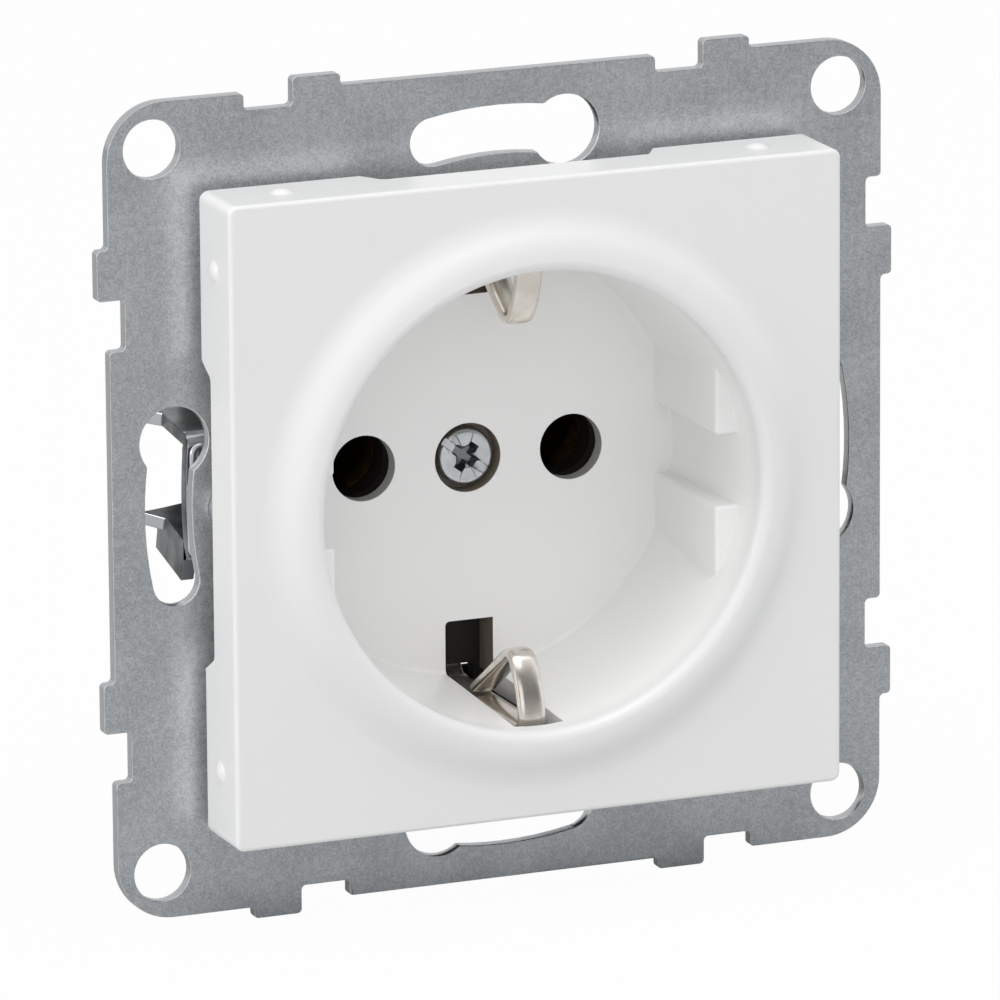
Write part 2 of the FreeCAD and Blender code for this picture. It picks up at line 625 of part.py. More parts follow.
def terminal_chamber(x, level, plate_z):
    """Cutters of one terminal: the chamber, the wire ways and the room under the screw."""
    half = TERMINAL_W / 2 + LOOSE
    low = plate_z - TERMINAL_T / 2 - SEAT
    z0, z1 = sorted((level * low, level * (BLOCK_HALF_H + PAST)))
    cutters = [block(x - half, x + half, PARTITION_Y - PAST, CHAMBER_BACK, z0, z1)]
    wire_z = level * (plate_z + TERMINAL_T / 2 + WIRE_GAP / 2)
    for side in (-1, 1):
        wire_x = x + side * WIRE_PITCH / 2
        cutters.append(rod(WIRE_R, CHAMBER_BACK - PAST, HOUSING_DEPTH + PAST, wire_x, wire_z))
        cutters.append(Part.makeCone(WIRE_R, WIRE_R + WIRE_FUNNEL, WIRE_FUNNEL,
                                     V(wire_x, HOUSING_DEPTH - WIRE_FUNNEL, wire_z), V(0, 1, 0)))
    p0, p1 = sorted((level * (low - TERMINAL_SCREW_BELOW - LOOSE), level * (low + SEAT)))
    cutters.append(post(TERMINAL_SCREW_R + LOOSE, p0, p1, x, TERMINAL_Y))
    return cutters


def sleeve_chamber(side):
    """Cutters of one line contact: the way of its sleeve, the gap of its neck and its terminal."""
    neck = NECK_T / 2 + LOOSE
    x = side * PIN_X
    cutters = [rod(SLEEVE_OUT_R + LOOSE, PARTITION_Y - PAST, SLEEVE_BACK + PIN_ROOM, x)]
    cutters.append(block(x - neck, x + neck, PARTITION_Y - PAST, TERMINAL_Y + NECK_W / 2 + LOOSE,
                         0, TERMINAL_Z))
    return cutters + terminal_chamber(side * TERMINAL_X, 1, TERMINAL_Z)


def rear_housing():
    """Moulded housing: the drum behind the frame, its ears, and the block with its chambers."""
    drum_back = PARTITION_Y + PARTITION_T
    body = rod(DRUM_OUT_R, 0, drum_back)
    ears = quarter_turns(rod(EAR_R, 0, EAR_T, EAR_PLACE, EAR_PLACE))
    body = body.multiFuse(ears + [housing_block()])
    cutters = [rod(DRUM_IN_R, -PAST, PARTITION_Y)]
    cutters += quarter_turns(rod(RIVET_R + FIT, -PAST, EAR_T + PAST, EAR_PLACE, EAR_PLACE))
    for side in (-1, 1):
        x0, x1 = sorted((side * (DRUM_OUT_R + PAST), side * (CUP_OUT_R - SEAT)))
        cutters.append(block(x0, x1, -PAST, drum_back + PAST, -CLAW_WINDOW_HALF, CLAW_WINDOW_HALF))
        cutters += sleeve_chamber(side)
    cutters += terminal_chamber(0, -1, TONGUE_Z)
    bush_end = PARTITION_Y + BUSH_LENGTH
    cutters.append(rod(BUSH_R + FIT / 2, PARTITION_Y - PAST, bush_end))
    cutters.append(rod(SCREW_R + LOOSE, PARTITION_Y, bush_end + BOSS_DEPTH))
    rivet_end = RETAINER_FRONT + EARTH_RIVET_LENGTH + LOOSE
    cutters += [rod(EARTH_RIVET_R + FIT, PARTITION_Y - PAST, rivet_end, 0, z)
                for z in (-EARTH_RIVET_Z, EARTH_RIVET_Z)]
    cutters += back_pockets()
    for cutter in cutters:
        body = body.cut(cutter)
    return body.removeSplitter()


def back_pockets():
    """Row of pockets in the back face between the ribs, as moulded housings have."""
    step = (2 * CORE_HALF_W - BACK_RIB_T) / BACK_POCKETS
    pockets = []
    for k in range(BACK_POCKETS):
        x0 = -CORE_HALF_W + BACK_RIB_T + k * step
        pocket = block(x0, x0 + step - BACK_RIB_T, HOUSING_DEPTH - BACK_POCKET_DEPTH, HOUSING_DEPTH + PAST,
                       -BACK_POCKET_HALF_H, BACK_POCKET_HALF_H)
        pockets.append(pocket.makeFillet(BACK_POCKET_R, edges_along(pocket, (0, 1, 0))))
    return pockets


def contact(side):
    """Brass line contact: a split sleeve with a flared mouth, a neck and the terminal plate."""
    y0, y1 = SLEEVE_FRONT, SLEEVE_BACK
    half_w, half_l, half_t = TERMINAL_W / 2, TERMINAL_L / 2, TERMINAL_T / 2
    sleeve = rod(SLEEVE_OUT_R, y0, y1, PIN_X)
    neck = block(PIN_X - NECK_T / 2, PIN_X + NECK_T / 2, TERMINAL_Y - NECK_W / 2, TERMINAL_Y + NECK_W / 2,
                 SLEEVE_OUT_R - SLEEVE_T / 2, TERMINAL_Z)
    plate = block(TERMINAL_X - half_w, TERMINAL_X + half_w, TERMINAL_Y - half_l, TERMINAL_Y + half_l,
                  TERMINAL_Z - half_t, TERMINAL_Z + half_t)
    shape = sleeve.multiFuse([neck, plate])
    bore = rod(SLEEVE_BORE_R, y0 - PAST, y1 + PAST, PIN_X)
    mouth = Part.makeCone(SLEEVE_MOUTH_R, SLEEVE_BORE_R, SLEEVE_MOUTH_L, V(PIN_X, y0, 0), V(0, 1, 0))
    slit = block(PIN_X - SLEEVE_SLIT / 2, PIN_X + SLEEVE_SLIT / 2, y0 - PAST, y1 + PAST,
                 -SLEEVE_OUT_R - PAST, 0)
    screw_hole = post(TERMINAL_SCREW_R + FIT, TERMINAL_Z - half_t - PAST, TERMINAL_Z + half_t + PAST,
                      TERMINAL_X, TERMINAL_Y)
    for cutter in (bore, mouth, slit, screw_hole):
        shape = shape.cut(cutter)
    shape = shape.removeSplitter()
    return shape if side > 0 else mirrored(shape)


def terminal_parts(x, level, plate_z):
    """Clamp plate and screw of one terminal, the screw head away from the socket's middle."""
    under = plate_z + TERMINAL_T / 2 + WIRE_GAP
    clamp = block(-CLAMP_W / 2, CLAMP_W / 2, -CLAMP_L / 2, CLAMP_L / 2, under, under + CLAMP_T)
    clamp = clamp.makeFillet(CLAMP_CORNER_R, edges_along(clamp, (0, 0, 1)))
    groove_z = under + CLAMP_GROOVE_D - CLAMP_GROOVE_R
    for side in (-1, 1):
        clamp = clamp.cut(rod(CLAMP_GROOVE_R, -CLAMP_L, CLAMP_L, side * WIRE_PITCH / 2, groove_z))
    clamp = clamp.cut(post(TERMINAL_SCREW_R + SNUG, under - PAST, under + CLAMP_T + PAST, 0, 0))
    length = CLAMP_T + WIRE_GAP + TERMINAL_T + TERMINAL_SCREW_BELOW
    screw = pan_screw(TERMINAL_HEAD_R, TERMINAL_HEAD_H, TERMINAL_SCREW_R, length,
                      TERMINAL_DRIVE_W, TERMINAL_DRIVE_DEPTH)
    screw.translate(V(0, 0, under + CLAMP_T))
    placed = []
    for piece in (clamp, screw):
        if level < 0:
            piece = turned(piece, 180)
        piece.translate(V(x, TERMINAL_Y, 0))
        placed.append(piece)
    return placed


def claw_leg():
    """One leg of a claw, flat in XY with its tooth at the outer back corner, z from 0."""
    outer, inner = -CLAW_W / 2, CLAW_W / 2
    end = CLAW_T + CLAW_LENGTH
    points = [(outer, 0), (outer, end - CLAW_TOOTH_ROOT), (outer - CLAW_TOOTH, end - CLAW_TOOTH_TIP),
              (outer + CLAW_END_STEP, end - CLAW_END_STEP), (inner - CLAW_NOSE, end),
              (inner, end - CLAW_NOSE), (inner, 0)]
    return prism_z(points, 0, CLAW_T)


def claw_fold(level):
    """Cutter that rounds one fold of the claw, between its web and a leg."""
    z0, z1 = sorted((level * (CLAW_H / 2 - CLAW_FOLD_R), level * (CLAW_H / 2 + PAST)))
    corner = block(-CLAW_W, CLAW_W, -PAST, CLAW_FOLD_R, z0, z1)
    hub = V(-CLAW_W - PAST, CLAW_FOLD_R, level * (CLAW_H / 2 - CLAW_FOLD_R))
    return corner.cut(Part.makeCylinder(CLAW_FOLD_R, 2 * (CLAW_W + PAST), hub, V(1, 0, 0)))


def left_claw():
    """Folded steel claw: the web faces the frame, both legs run back and lean; the low one is flanged."""
    half_h = CLAW_H / 2
    outer, inner = -CLAW_W / 2, CLAW_W / 2
    bow = Part.Arc(V(outer, 0, -half_h), V(outer - CLAW_BOW, 0, 0), V(outer, 0, half_h)).toShape()
    rest = Part.makePolygon([V(outer, 0, half_h), V(inner, 0, half_h),
                             V(inner, 0, -half_h), V(outer, 0, -half_h)])
    web = Part.Face(Part.Wire([bow] + rest.Edges)).extrude(V(0, CLAW_T, 0))
    top = claw_leg()
    top.translate(V(0, 0, half_h - CLAW_T))
    top.rotate(V(0, CLAW_T / 2, half_h - CLAW_T / 2), V(1, 0, 0), CLAW_TOP_TILT)
    flange_back = CLAW_T + CLAW_LENGTH - CLAW_TOOTH_TIP
    flange = block(outer, outer + CLAW_T, CLAW_FLANGE_FROM, flange_back, -CLAW_FLANGE_H, CLAW_T)
    low = claw_leg().fuse(flange)
    low.translate(V(0, 0, -half_h))
    low.rotate(V(0, CLAW_T / 2, -half_h + CLAW_T / 2), V(1, 0, 0), CLAW_LOW_TILT)
    claw = web.multiFuse([top, low]).removeSplitter()
    for cutter in (claw_fold(1), claw_fold(-1), rod(CLAW_HOLE_R, -PAST, CLAW_T + PAST)):
        claw = claw.cut(cutter)
    claw.translate(V(-CLAW_X, CLAW_FROM_FRAME, 0))
    return claw


def claw_screw(side):
    """Screw through the frame that draws a claw outwards."""
    screw = pan_screw(CLAW_SCREW_HEAD_R, CLAW_SCREW_HEAD_H, CLAW_SCREW_R, CLAW_SCREW_LENGTH)
    screw.rotate(V(0, 0, 0), V(1, 0, 0), 90)
    screw.translate(V(side * CLAW_X, FRAME_FRONT - FIT, 0))
    return screw


def spring_end(y, level):
    """Edges of one end of the spring wire: its leg, the hook and the short leg of the hook."""
    x = -SPRING_LOOP_R
    top, inner = level * SPRING_LEG, x + 2 * SPRING_HOOK_R
    crown = V(x + SPRING_HOOK_R, y, top + level * SPRING_HOOK_R)
    return [Part.LineSegment(V(x, y, 0), V(x, y, top)).toShape(),
            Part.Arc(V(x, y, top), crown, V(inner, y, top)).toShape(),
            Part.LineSegment(V(inner, y, top), V(inner, y, top - level * SPRING_HOOK_LEG)).toShape()]


def left_spring():
    """Wire return spring: one turn round the claw screw and two hooked legs along the claw's web."""
    turns = []
    for k in range(SPRING_STEPS + 1):
        angle = math.pi + 2 * math.pi * k / SPRING_STEPS
        turns.append(V(SPRING_LOOP_R * math.cos(angle), SPRING_PITCH * k / SPRING_STEPS,
                       SPRING_LOOP_R * math.sin(angle)))
    coil = Part.BSplineCurve()
    coil.interpolate(turns, InitialTangent=V(0, 0, -1), FinalTangent=V(0, 0, -1))
    edges = spring_end(0, 1) + [coil.toShape()] + spring_end(SPRING_PITCH, -1)
    path = Part.Wire(Part.__sortEdges__(edges))
    start = V(-SPRING_LOOP_R + 2 * SPRING_HOOK_R, 0, SPRING_LEG - SPRING_HOOK_LEG)
    section = Part.Wire(Part.makeCircle(SPRING_WIRE_R, start, V(0, 0, 1)))
    wire = path.makePipeShell([section], True, True)
    wire.translate(V(-CLAW_X, CLAW_FROM_FRAME - SPRING_PITCH - SPRING_WIRE_R - FIT, 0))
    return wire


def housing_rivets():
    """Four rivets that hold the housing's ears behind the frame."""
    head_front, tail_back = FRAME_FRONT - RIVET_HEAD_H, EAR_T + RIVET_HEAD_H
    shank = rod(RIVET_R, head_front, tail_back, EAR_PLACE, EAR_PLACE)
    head = rod(RIVET_HEAD_R, head_front, FRAME_FRONT, EAR_PLACE, EAR_PLACE)
    tail = rod(RIVET_HEAD_R, EAR_T, tail_back, EAR_PLACE, EAR_PLACE)
    return Part.makeCompound(quarter_turns(shank.multiFuse([head, tail]).removeSplitter()))


def build():
    """Every sub-part by the name of its node."""
    parts = {
        "front_cover": front_cover(),
        "cover_screw": cover_screw(),
        "cover_screw_bush": cover_screw_bush(),
        "support_frame": support_frame(),
        "housing_rivets": housing_rivets(),
        "rear_housing": rear_housing(),
        "contact_retainer": contact_retainer(),
        "earth_clip": earth_clip(),
        "earth_rivets": earth_rivets(),
    }
    for name, side in (("left", -1), ("right", 1)):
        parts["contact_" + name] = contact(side)
        clamp, screw = terminal_parts(side * TERMINAL_X, 1, TERMINAL_Z)
        parts["clamp_plate_" + name] = clamp
        parts["terminal_screw_" + name] = screw
        parts["claw_screw_" + name] = claw_screw(side)
    clamp, screw = terminal_parts(0, -1, TONGUE_Z)
    parts["clamp_plate_earth"] = clamp
    parts["terminal_screw_earth"] = screw
    for kind, shape in (("claw", left_claw()), ("claw_spring", left_spring())):
        parts[kind + "_left"] = shape
        parts[kind + "_right"] = turned(shape, 180)
    return parts


os.makedirs("parts", exist_ok=True)
for name, shape in build().items():
    print(name, "valid", shape.isValid(), "solids", len(shape.Solids), "volume", round(shape.Volume, 1))
    shape.exportStep("parts/" + name + ".step")
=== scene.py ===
"""Looks of a flush wall socket insert: finishes, fine parts, light and camera.

Every length is in metres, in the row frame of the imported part: X to the right, Y into the wall
and Z up. The origin is the middle of the support frame's back face.
"""

from __future__ import annotations

import json
import logging
import math
from dataclasses import dataclass, field
from enum import Enum
from typing import Any, Callable, Dict, List, Optional, Sequence, Tuple, Union

import bpy
from mathutils import Matrix, Vector

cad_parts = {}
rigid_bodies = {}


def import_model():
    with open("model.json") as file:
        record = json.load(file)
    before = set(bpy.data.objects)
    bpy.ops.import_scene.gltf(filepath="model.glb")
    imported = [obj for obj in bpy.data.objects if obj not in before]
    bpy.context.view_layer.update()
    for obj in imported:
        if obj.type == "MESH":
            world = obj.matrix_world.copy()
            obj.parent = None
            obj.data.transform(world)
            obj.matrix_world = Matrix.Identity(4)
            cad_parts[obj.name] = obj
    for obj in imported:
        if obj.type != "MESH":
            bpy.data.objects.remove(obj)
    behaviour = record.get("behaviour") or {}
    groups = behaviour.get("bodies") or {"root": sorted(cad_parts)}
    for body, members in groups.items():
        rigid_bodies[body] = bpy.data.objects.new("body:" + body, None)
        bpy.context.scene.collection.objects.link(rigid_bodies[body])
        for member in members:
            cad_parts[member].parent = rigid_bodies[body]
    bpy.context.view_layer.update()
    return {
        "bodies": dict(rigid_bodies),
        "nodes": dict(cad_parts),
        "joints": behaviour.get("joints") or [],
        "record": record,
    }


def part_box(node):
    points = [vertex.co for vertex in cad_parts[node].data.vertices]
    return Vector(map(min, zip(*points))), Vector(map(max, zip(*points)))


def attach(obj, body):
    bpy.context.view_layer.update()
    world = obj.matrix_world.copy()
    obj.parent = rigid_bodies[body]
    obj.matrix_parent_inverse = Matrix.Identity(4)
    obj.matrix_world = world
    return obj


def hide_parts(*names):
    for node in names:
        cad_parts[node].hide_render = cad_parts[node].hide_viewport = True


LOG = logging.getLogger("socket")
MM = 0.001
NEAR = 0.01 * MM
# The attribute that marks where a screw's recess gets painted shade.
RECESS = "recess"

Colour = Tuple[float, float, float]
Span = Tuple[float, float]
WHITE: Colour = (1.0, 1.0, 1.0)


class Slot(Enum):
    """Material slots of the record that the pieces take their finish from."""

    WHITE_PLASTIC = "white_plastic"
    GALVANISED = "galvanised_steel"
    ZINC = "zinc_steel"
    NICKEL = "nickel_strip"
    SCREW = "screw_zinc"
    DARK_PLASTIC = "dark_plastic"
    INSULATOR = "insulator_plastic"
    BRASS = "brass"


class Side(Enum):
    """The two mirrored sides of the socket, with the sign of their X."""

    LEFT = -1
    RIGHT = 1

    @property
    def word(self) -> str:
        """The side's name as the nodes write it."""
        return self.name.lower()


@dataclass(frozen=True)
class CoverSizes:
    """Where the cover's outline, cup and openings lie, for its pieces and for the finishes."""

    half: float = 27.5 * MM
    cup_r: float = 19.8 * MM
    cup_from: float = -10.4 * MM
    floor: float = 6.4 * MM
    floor_back: float = 7.9 * MM
    hole_r: float = 3.05 * MM
    pin_x: float = 9.5 * MM
    pin_r: float = 2.85 * MM
    slot_half: float = 2.2 * MM
    slot_from: float = 14.2 * MM
    slot_to: float = 19.4 * MM


class Value:
    """A number socket of a shader tree; arithmetic on it adds Math nodes."""

    def __init__(self, paint: "Paint", socket: bpy.types.NodeSocket) -> None:
        """Wraps an output socket.

        Args:
            paint: the tree that the socket belongs to.
            socket: the output that carries the number.
        """
        self.paint = paint
        self.socket = socket

    def _with(self, operation: str, other: "Operand", reflected: bool = False) -> "Value":
        """Joins this number and another by one Math node.

        Args:
            operation: the Math node's operation.
            other: the second number.
            reflected: whether the other number comes first.

        Returns:
            The result.
        """
        first, second = (other, self) if reflected else (self, other)
        return self.paint.value("ShaderNodeMath", {"operation": operation}, {0: first, 1: second})

    def __add__(self, other: "Operand") -> "Value":
        """Sum."""
        return self._with("ADD", other)

    def __radd__(self, other: "Operand") -> "Value":
        """Sum, reflected."""
        return self._with("ADD", other, True)

    def __sub__(self, other: "Operand") -> "Value":
        """Difference."""
        return self._with("SUBTRACT", other)

    def __rsub__(self, other: "Operand") -> "Value":
        """Difference, reflected."""
        return self._with("SUBTRACT", other, True)

    def __mul__(self, other: "Operand") -> "Value":
        """Product."""
        return self._with("MULTIPLY", other)

    def __rmul__(self, other: "Operand") -> "Value":
        """Product, reflected."""
        return self._with("MULTIPLY", other, True)

    def __abs__(self) -> "Value":
        """Size without its sign."""
        return self._with("ABSOLUTE", 0.0)

    def power(self, other: "Operand") -> "Value":
        """This number raised to another."""
        return self._with("POWER", other)

    def highest(self, other: "Operand") -> "Value":
        """The larger of two numbers."""
        return self._with("MAXIMUM", other)

    def step(self, low: float, high: float) -> "Value":
        """Rises smoothly from 0 at low to 1 at high.

        Args:
            low: where the step begins.
            high: where it ends.

        Returns:
            The stepped number.
        """
        settings = {"interpolation_type": "SMOOTHSTEP"}
        inputs = {"Value": self, "From Min": low, "From Max": high}
        return self.paint.value("ShaderNodeMapRange", settings, inputs)


Operand = Union[Value, float, int]


class Paint:
    """The node tree of one material or world, and the nodes that all finishes use."""

    def __init__(self, owner: Union[bpy.types.Material, bpy.types.World]) -> None:
        """Starts an empty tree.

        Args:
            owner: the material or world that the tree belongs to.
        """
        owner.use_nodes = True
        self.owner = owner
        self.tree = owner.node_tree
        self.tree.nodes.clear()

    def add(self, kind: str, settings: Optional[Dict[str, Any]] = None,
            inputs: Optional[Dict[Union[str, int], Any]] = None) -> bpy.types.Node:
        """Adds one node of any kind.

        Args:
            kind: the node's type.
            settings: its own settings.
            inputs: a number, colour, vector, Value or socket for each named input.

        Returns:
            The new node.
        """
        node = self.tree.nodes.new(kind)
        for key, setting in (settings or {}).items():
            setattr(node, key, setting)
        for key, given in (inputs or {}).items():
            source = given.socket if isinstance(given, Value) else given
            if isinstance(source, bpy.types.NodeSocket):
                self.tree.links.new(source, node.inputs[key])
            else:
                node.inputs[key].default_value = source
        return node

    def value(self, kind: str, settings: Optional[Dict[str, Any]] = None,
              inputs: Optional[Dict[Union[str, int], Any]] = None, output: Union[str, int] = 0) -> Value:
        """Adds a node and wraps one of its outputs as a number.

        Args:
            kind: the node's type.
            settings: its settings.
            inputs: its inputs.
            output: the output's name or place.

        Returns:
            The wrapped output.
        """
        return Value(self, self.add(kind, settings, inputs).outputs[output])

    def place(self, scale: Sequence[float] = (1.0, 1.0, 1.0)) -> bpy.types.NodeSocket:
        """Object coordinates, stretched along each axis by the scale."""
        coords = self.add("ShaderNodeTexCoord").outputs["Object"]
        return self.add("ShaderNodeMapping", {}, {"Vector": coords, "Scale": scale}).outputs[0]

    def noise(self, size: float, detail: float = 2.0, rough: float = 0.5,
              vector: Optional[bpy.types.NodeSocket] = None) -> Value:
        """Soft noise.

        Args:
            size: the size of one patch in metres.
            detail: how many finer layers it has.
            rough: how strong they are.
            vector: other coordinates than the object's own.

        Returns:
            A number around 0.5.
        """
        return self.value("ShaderNodeTexNoise", {}, {
            "Vector": vector or self.place(), "Scale": 1.0 / size, "Detail": detail, "Roughness": rough})

    def parts(self, kind: str) -> Tuple[Value, Value, Value]:
        """The three parts of a vector in the object's own axes.

        Args:
            kind: "Object" for the place on the object, "Normal" for where the surface faces.

        Returns:
            The parts along X, Y and Z.
        """
        vector = self.add("ShaderNodeTexCoord").outputs[kind]
        split = self.add("ShaderNodeSeparateXYZ", {}, {0: vector})
        return tuple(Value(self, out) for out in split.outputs)

    def mix(self, factor: Operand, first: Any, second: Any) -> bpy.types.NodeSocket:
        """Blends two colours.

        Args:
            factor: 0 for the first and 1 for the second.
            first: a colour or a colour socket.
            second: a colour or a colour socket.

        Returns:
            The colour output.
        """
        inputs = {0: factor, 6: opaque(first), 7: opaque(second)}
        return self.add("ShaderNodeMix", {"data_type": "RGBA"}, inputs).outputs[2]

    def bump(self, height: Value, depth: float, strength: float = 1.0,
             under: Optional[bpy.types.NodeSocket] = None) -> bpy.types.NodeSocket:
        """Raises the surface in the light.

        Args:
            height: the height, from 0 to 1.
            depth: the height of 1 in metres.
            strength: how strongly it shows.
            under: the normal of a coarser bump below it.

        Returns:
            The normal output.
        """
        inputs: Dict[Union[str, int], Any] = {"Height": height, "Distance": depth, "Strength": strength}
        if under is not None:
            inputs["Normal"] = under
        return self.add("ShaderNodeBump", {}, inputs).outputs[0]

    def surface(self, inputs: Dict[Union[str, int], Any]) -> bpy.types.Material:
        """Ends the tree with one Principled shader.

        Args:
            inputs: the shader's own inputs.

        Returns:
            The finished material.
        """
        shader = self.add("ShaderNodeBsdfPrincipled", {}, inputs)
        self.add("ShaderNodeOutputMaterial", {}, {"Surface": shader.outputs[0]})
        return self.owner


def opaque(colour: Any) -> Any:
    """A colour with its alpha, or the socket as it is."""
    return (*colour, 1.0) if isinstance(colour, tuple) else colour


def grey(level: float, warm: float = 0.0) -> Colour:
    """A linear colour near grey.

    Args:
        level: its lightness.
        warm: how much red rises and blue falls.

    Returns:
        The colour.
    """
    return (level * (1 + warm), level, level * (1 - warm))


@dataclass(frozen=True)
class Moulding:
    """Moulded plastic with a faint flow of tone and a fine eroded surface."""

    name: str
    colour: Colour
    deep: Colour
    roughness: float
    erosion: float
    erosion_depth: float
    wave: float = 4.0 * MM
    wave_depth: float = 0.0
    flow: float = 18.0 * MM
    flow_band: Span = (0.35, 0.7)
    flow_play: float = 0.06
    fine_play: float = 0.12
    fine_strength: float = 0.8
    refraction: float = 1.5

    def material(self) -> bpy.types.Material:
        """Builds the material."""
        paint = Paint(bpy.data.materials.new(self.name))
        flow = paint.noise(self.flow, detail=3.0)
        fine = paint.noise(self.erosion, detail=4.0, rough=0.6)
        colour = self._tone(paint, paint.mix(flow.step(*self.flow_band), self.colour, self.deep))
        low = paint.bump(paint.noise(self.wave, detail=1.0), self.wave_depth)
        return paint.surface({
            "Base Color": colour,
            "Roughness": self.roughness + (fine - 0.5) * self.fine_play + (flow - 0.5) * self.flow_play,
            "Normal": paint.bump(fine, self.erosion_depth, self.fine_strength, low),
            "IOR": self.refraction})

    def _tone(self, paint: Paint, colour: bpy.types.NodeSocket) -> bpy.types.NodeSocket:
        """The plastic's colour as it is."""
        return colour


@dataclass(frozen=True)
class CoverPlastic(Moulding):
    """The cover's white plastic, with painted light in the cup and painted shade on the walls of its small
    openings.
    """

    sizes: CoverSizes = CoverSizes()
    # Painted light: inside is a paler colour for the cup, lifting the shade that the cup's depth keeps.
    inside: Colour = (0.935, 0.93, 0.922)
    # Painted shade: the dark brown that the walls of the screw hole and the earth slots get, standing in
    # for the shade deep in them.
    opening_shade: Colour = (0.25, 0.212, 0.176)
    # Painted shade for the walls of the pin holes.
    pin_hole_shade: Colour = (0.50, 0.49, 0.47)
    blur: float = 0.1 * MM
    cup_blur: float = 0.5 * MM
    cup_rise: float = 2.4 * MM
    shade_from: Span = (0.03 * MM, 0.09 * MM)
    slot_lap: float = 0.3 * MM

    def _tone(self, paint: Paint, colour: bpy.types.NodeSocket) -> bpy.types.NodeSocket:
        """Paints light into the cup and paints shade on the walls of the small openings in its floor.

        Args:
            paint: the material's tree.
            colour: the plain colour.

        Returns:
            The colour with its painted light and painted shade.
        """
        sizes = self.sizes
        across, depth, height = paint.parts("Object")
        from_axis = (across * across + height * height).power(0.5)
        beside_pin = abs(across) - sizes.pin_x
        from_pin = (beside_pin * beside_pin + height * height).power(0.5)
        cup = self._within(from_axis, sizes.cup_r, self.cup_blur) * depth.step(
            sizes.cup_from, sizes.cup_from + self.cup_rise)
        below = depth.step(*(sizes.floor + start for start in self.shade_from))
        slot_end = sizes.slot_from - self.slot_lap
        slot = self._within(abs(across), sizes.slot_half + self.blur, self.blur) * abs(height).step(
            slot_end - self.blur, slot_end)
        hole = self._within(from_axis, sizes.hole_r, self.blur)
        pin = self._within(from_pin, sizes.pin_r, self.blur)
        # Painted light: the cup takes the paler colour, against the shade inside it.
        cup_painted_light = paint.mix(cup, colour, self.inside)
        # Painted shade on the walls of the screw hole, the earth slots and the pin holes, below the
        # floor's front.
        openings_shaded = paint.mix(below * hole.highest(slot), cup_painted_light, self.opening_shade)
        return paint.mix(below * pin, openings_shaded, self.pin_hole_shade)

    @staticmethod
    def _within(distance: Value, reach: float, blur: float) -> Value:
        """Falls from 1 at the reach to 0 beyond the blur."""
        return 1.0 - distance.step(reach, reach + blur)


@dataclass(frozen=True)
class GalvanisedSheet:
    """Zinc on sheet: dull clouds, mottled grain, cut edges with a painted highlight on their rims, and
    painted light beside the cover.
    """

    name: str
    light: Colour
    dark: Colour
    edge: Colour
    # The rim colour is a painted highlight: near-white on the rounded faces between the sheet's front and
    # its cut edges.
    rim_highlight: Colour
    sizes: CoverSizes = CoverSizes()
    # clear is painted light: a pale zinc colour for the band beside the cover's top and left, lifting the
    # shade the cover leaves there.
    clear: Colour = (0.93, 0.945, 0.955)
    painted_light_share: float = 0.65
    painted_light_play: float = 0.5
    painted_light_from: float = 26.2 * MM
    painted_light_blur: float = 0.3 * MM
    painted_light_width: float = 3.4 * MM
    painted_light_ends: Span = (-2.5 * MM, 0.5 * MM)
    painted_light_depth: Span = (-0.9 * MM, -0.5 * MM)
    cloud: float = 5.0 * MM
    flake: float = 0.6 * MM
    grain: float = 0.2 * MM
    cloud_share: float = 0.5
    flake_share: float = 0.8
    grain_share: float = 1.3
    roughness: float = 0.46
    flake_play: float = 0.16
    cloud_play: float = 0.1
    cut_polish: float = 0.2
    relief: float = 0.6
    depth: float = 0.004 * MM
    strength: float = 0.5
    mottle_band: Span = (0.1, 0.9)
    cut_facing: Span = (0.2, 0.4)
    rim_highlight_facing: Span = (0.25, 0.45)
    flat_facing: Span = (0.9, 0.97)

    def material(self) -> bpy.types.Material:
        """Builds the material."""
        paint = Paint(bpy.data.materials.new(self.name))
        clouds = paint.noise(self.cloud, detail=4.0, rough=0.6)
        flakes = paint.noise(self.flake, rough=0.55)
        grain = paint.noise(self.grain, rough=0.6)
        mottle = ((clouds - 0.5) * self.cloud_share + (flakes - 0.5) * self.flake_share
                  + (grain - 0.5) * self.grain_share + 0.5).step(*self.mottle_band)
        # Painted light: the sheet turns towards the pale colour beside the cover's top and left.
        share = self._painted_light_beside_cover(paint) * ((mottle - 0.5) * self.painted_light_play + self.painted_light_share)
        sheet = paint.mix(share, paint.mix(mottle, self.dark, self.light), self.clear)
        facing = abs(paint.parts("Normal")[1])
        cut = 1.0 - facing.step(*self.cut_facing)
        # Painted highlight on the rounded faces round each cut edge.
        rim_highlight = facing.step(*self.rim_highlight_facing) * (1.0 - facing.step(*self.flat_facing))
        return paint.surface({
            "Base Color": paint.mix(rim_highlight, paint.mix(cut, sheet, self.edge), self.rim_highlight),
            "Metallic": 1.0,
            "Roughness": self.roughness + (flakes - 0.5) * self.flake_play
            - (clouds - 0.5) * self.cloud_play - cut * self.cut_polish,
            "Normal": paint.bump((grain + flakes) * self.relief, self.depth, self.strength)})

    def _painted_light_beside_cover(self, paint: Paint) -> Value:
        """Marks the band of painted light on the sheet's front, along the cover's top and left.

        Args:
            paint: the material's tree.

        Returns:
            1 beside the cover, down to 0 at the band's outer side.
        """
        half = self.sizes.half
        across, depth, height = paint.parts("Object")
        front = 1.0 - depth.step(*self.painted_light_depth)
        out = height.highest(across * -1.0)
        band = out.step(self.painted_light_from - self.painted_light_blur, self.painted_light_from) * (
            1.0 - out.step(half, half + self.painted_light_width))
        ends = across.highest(height * -1.0).step(*(half + past for past in self.painted_light_ends))
        return band * front * (1.0 - ends)


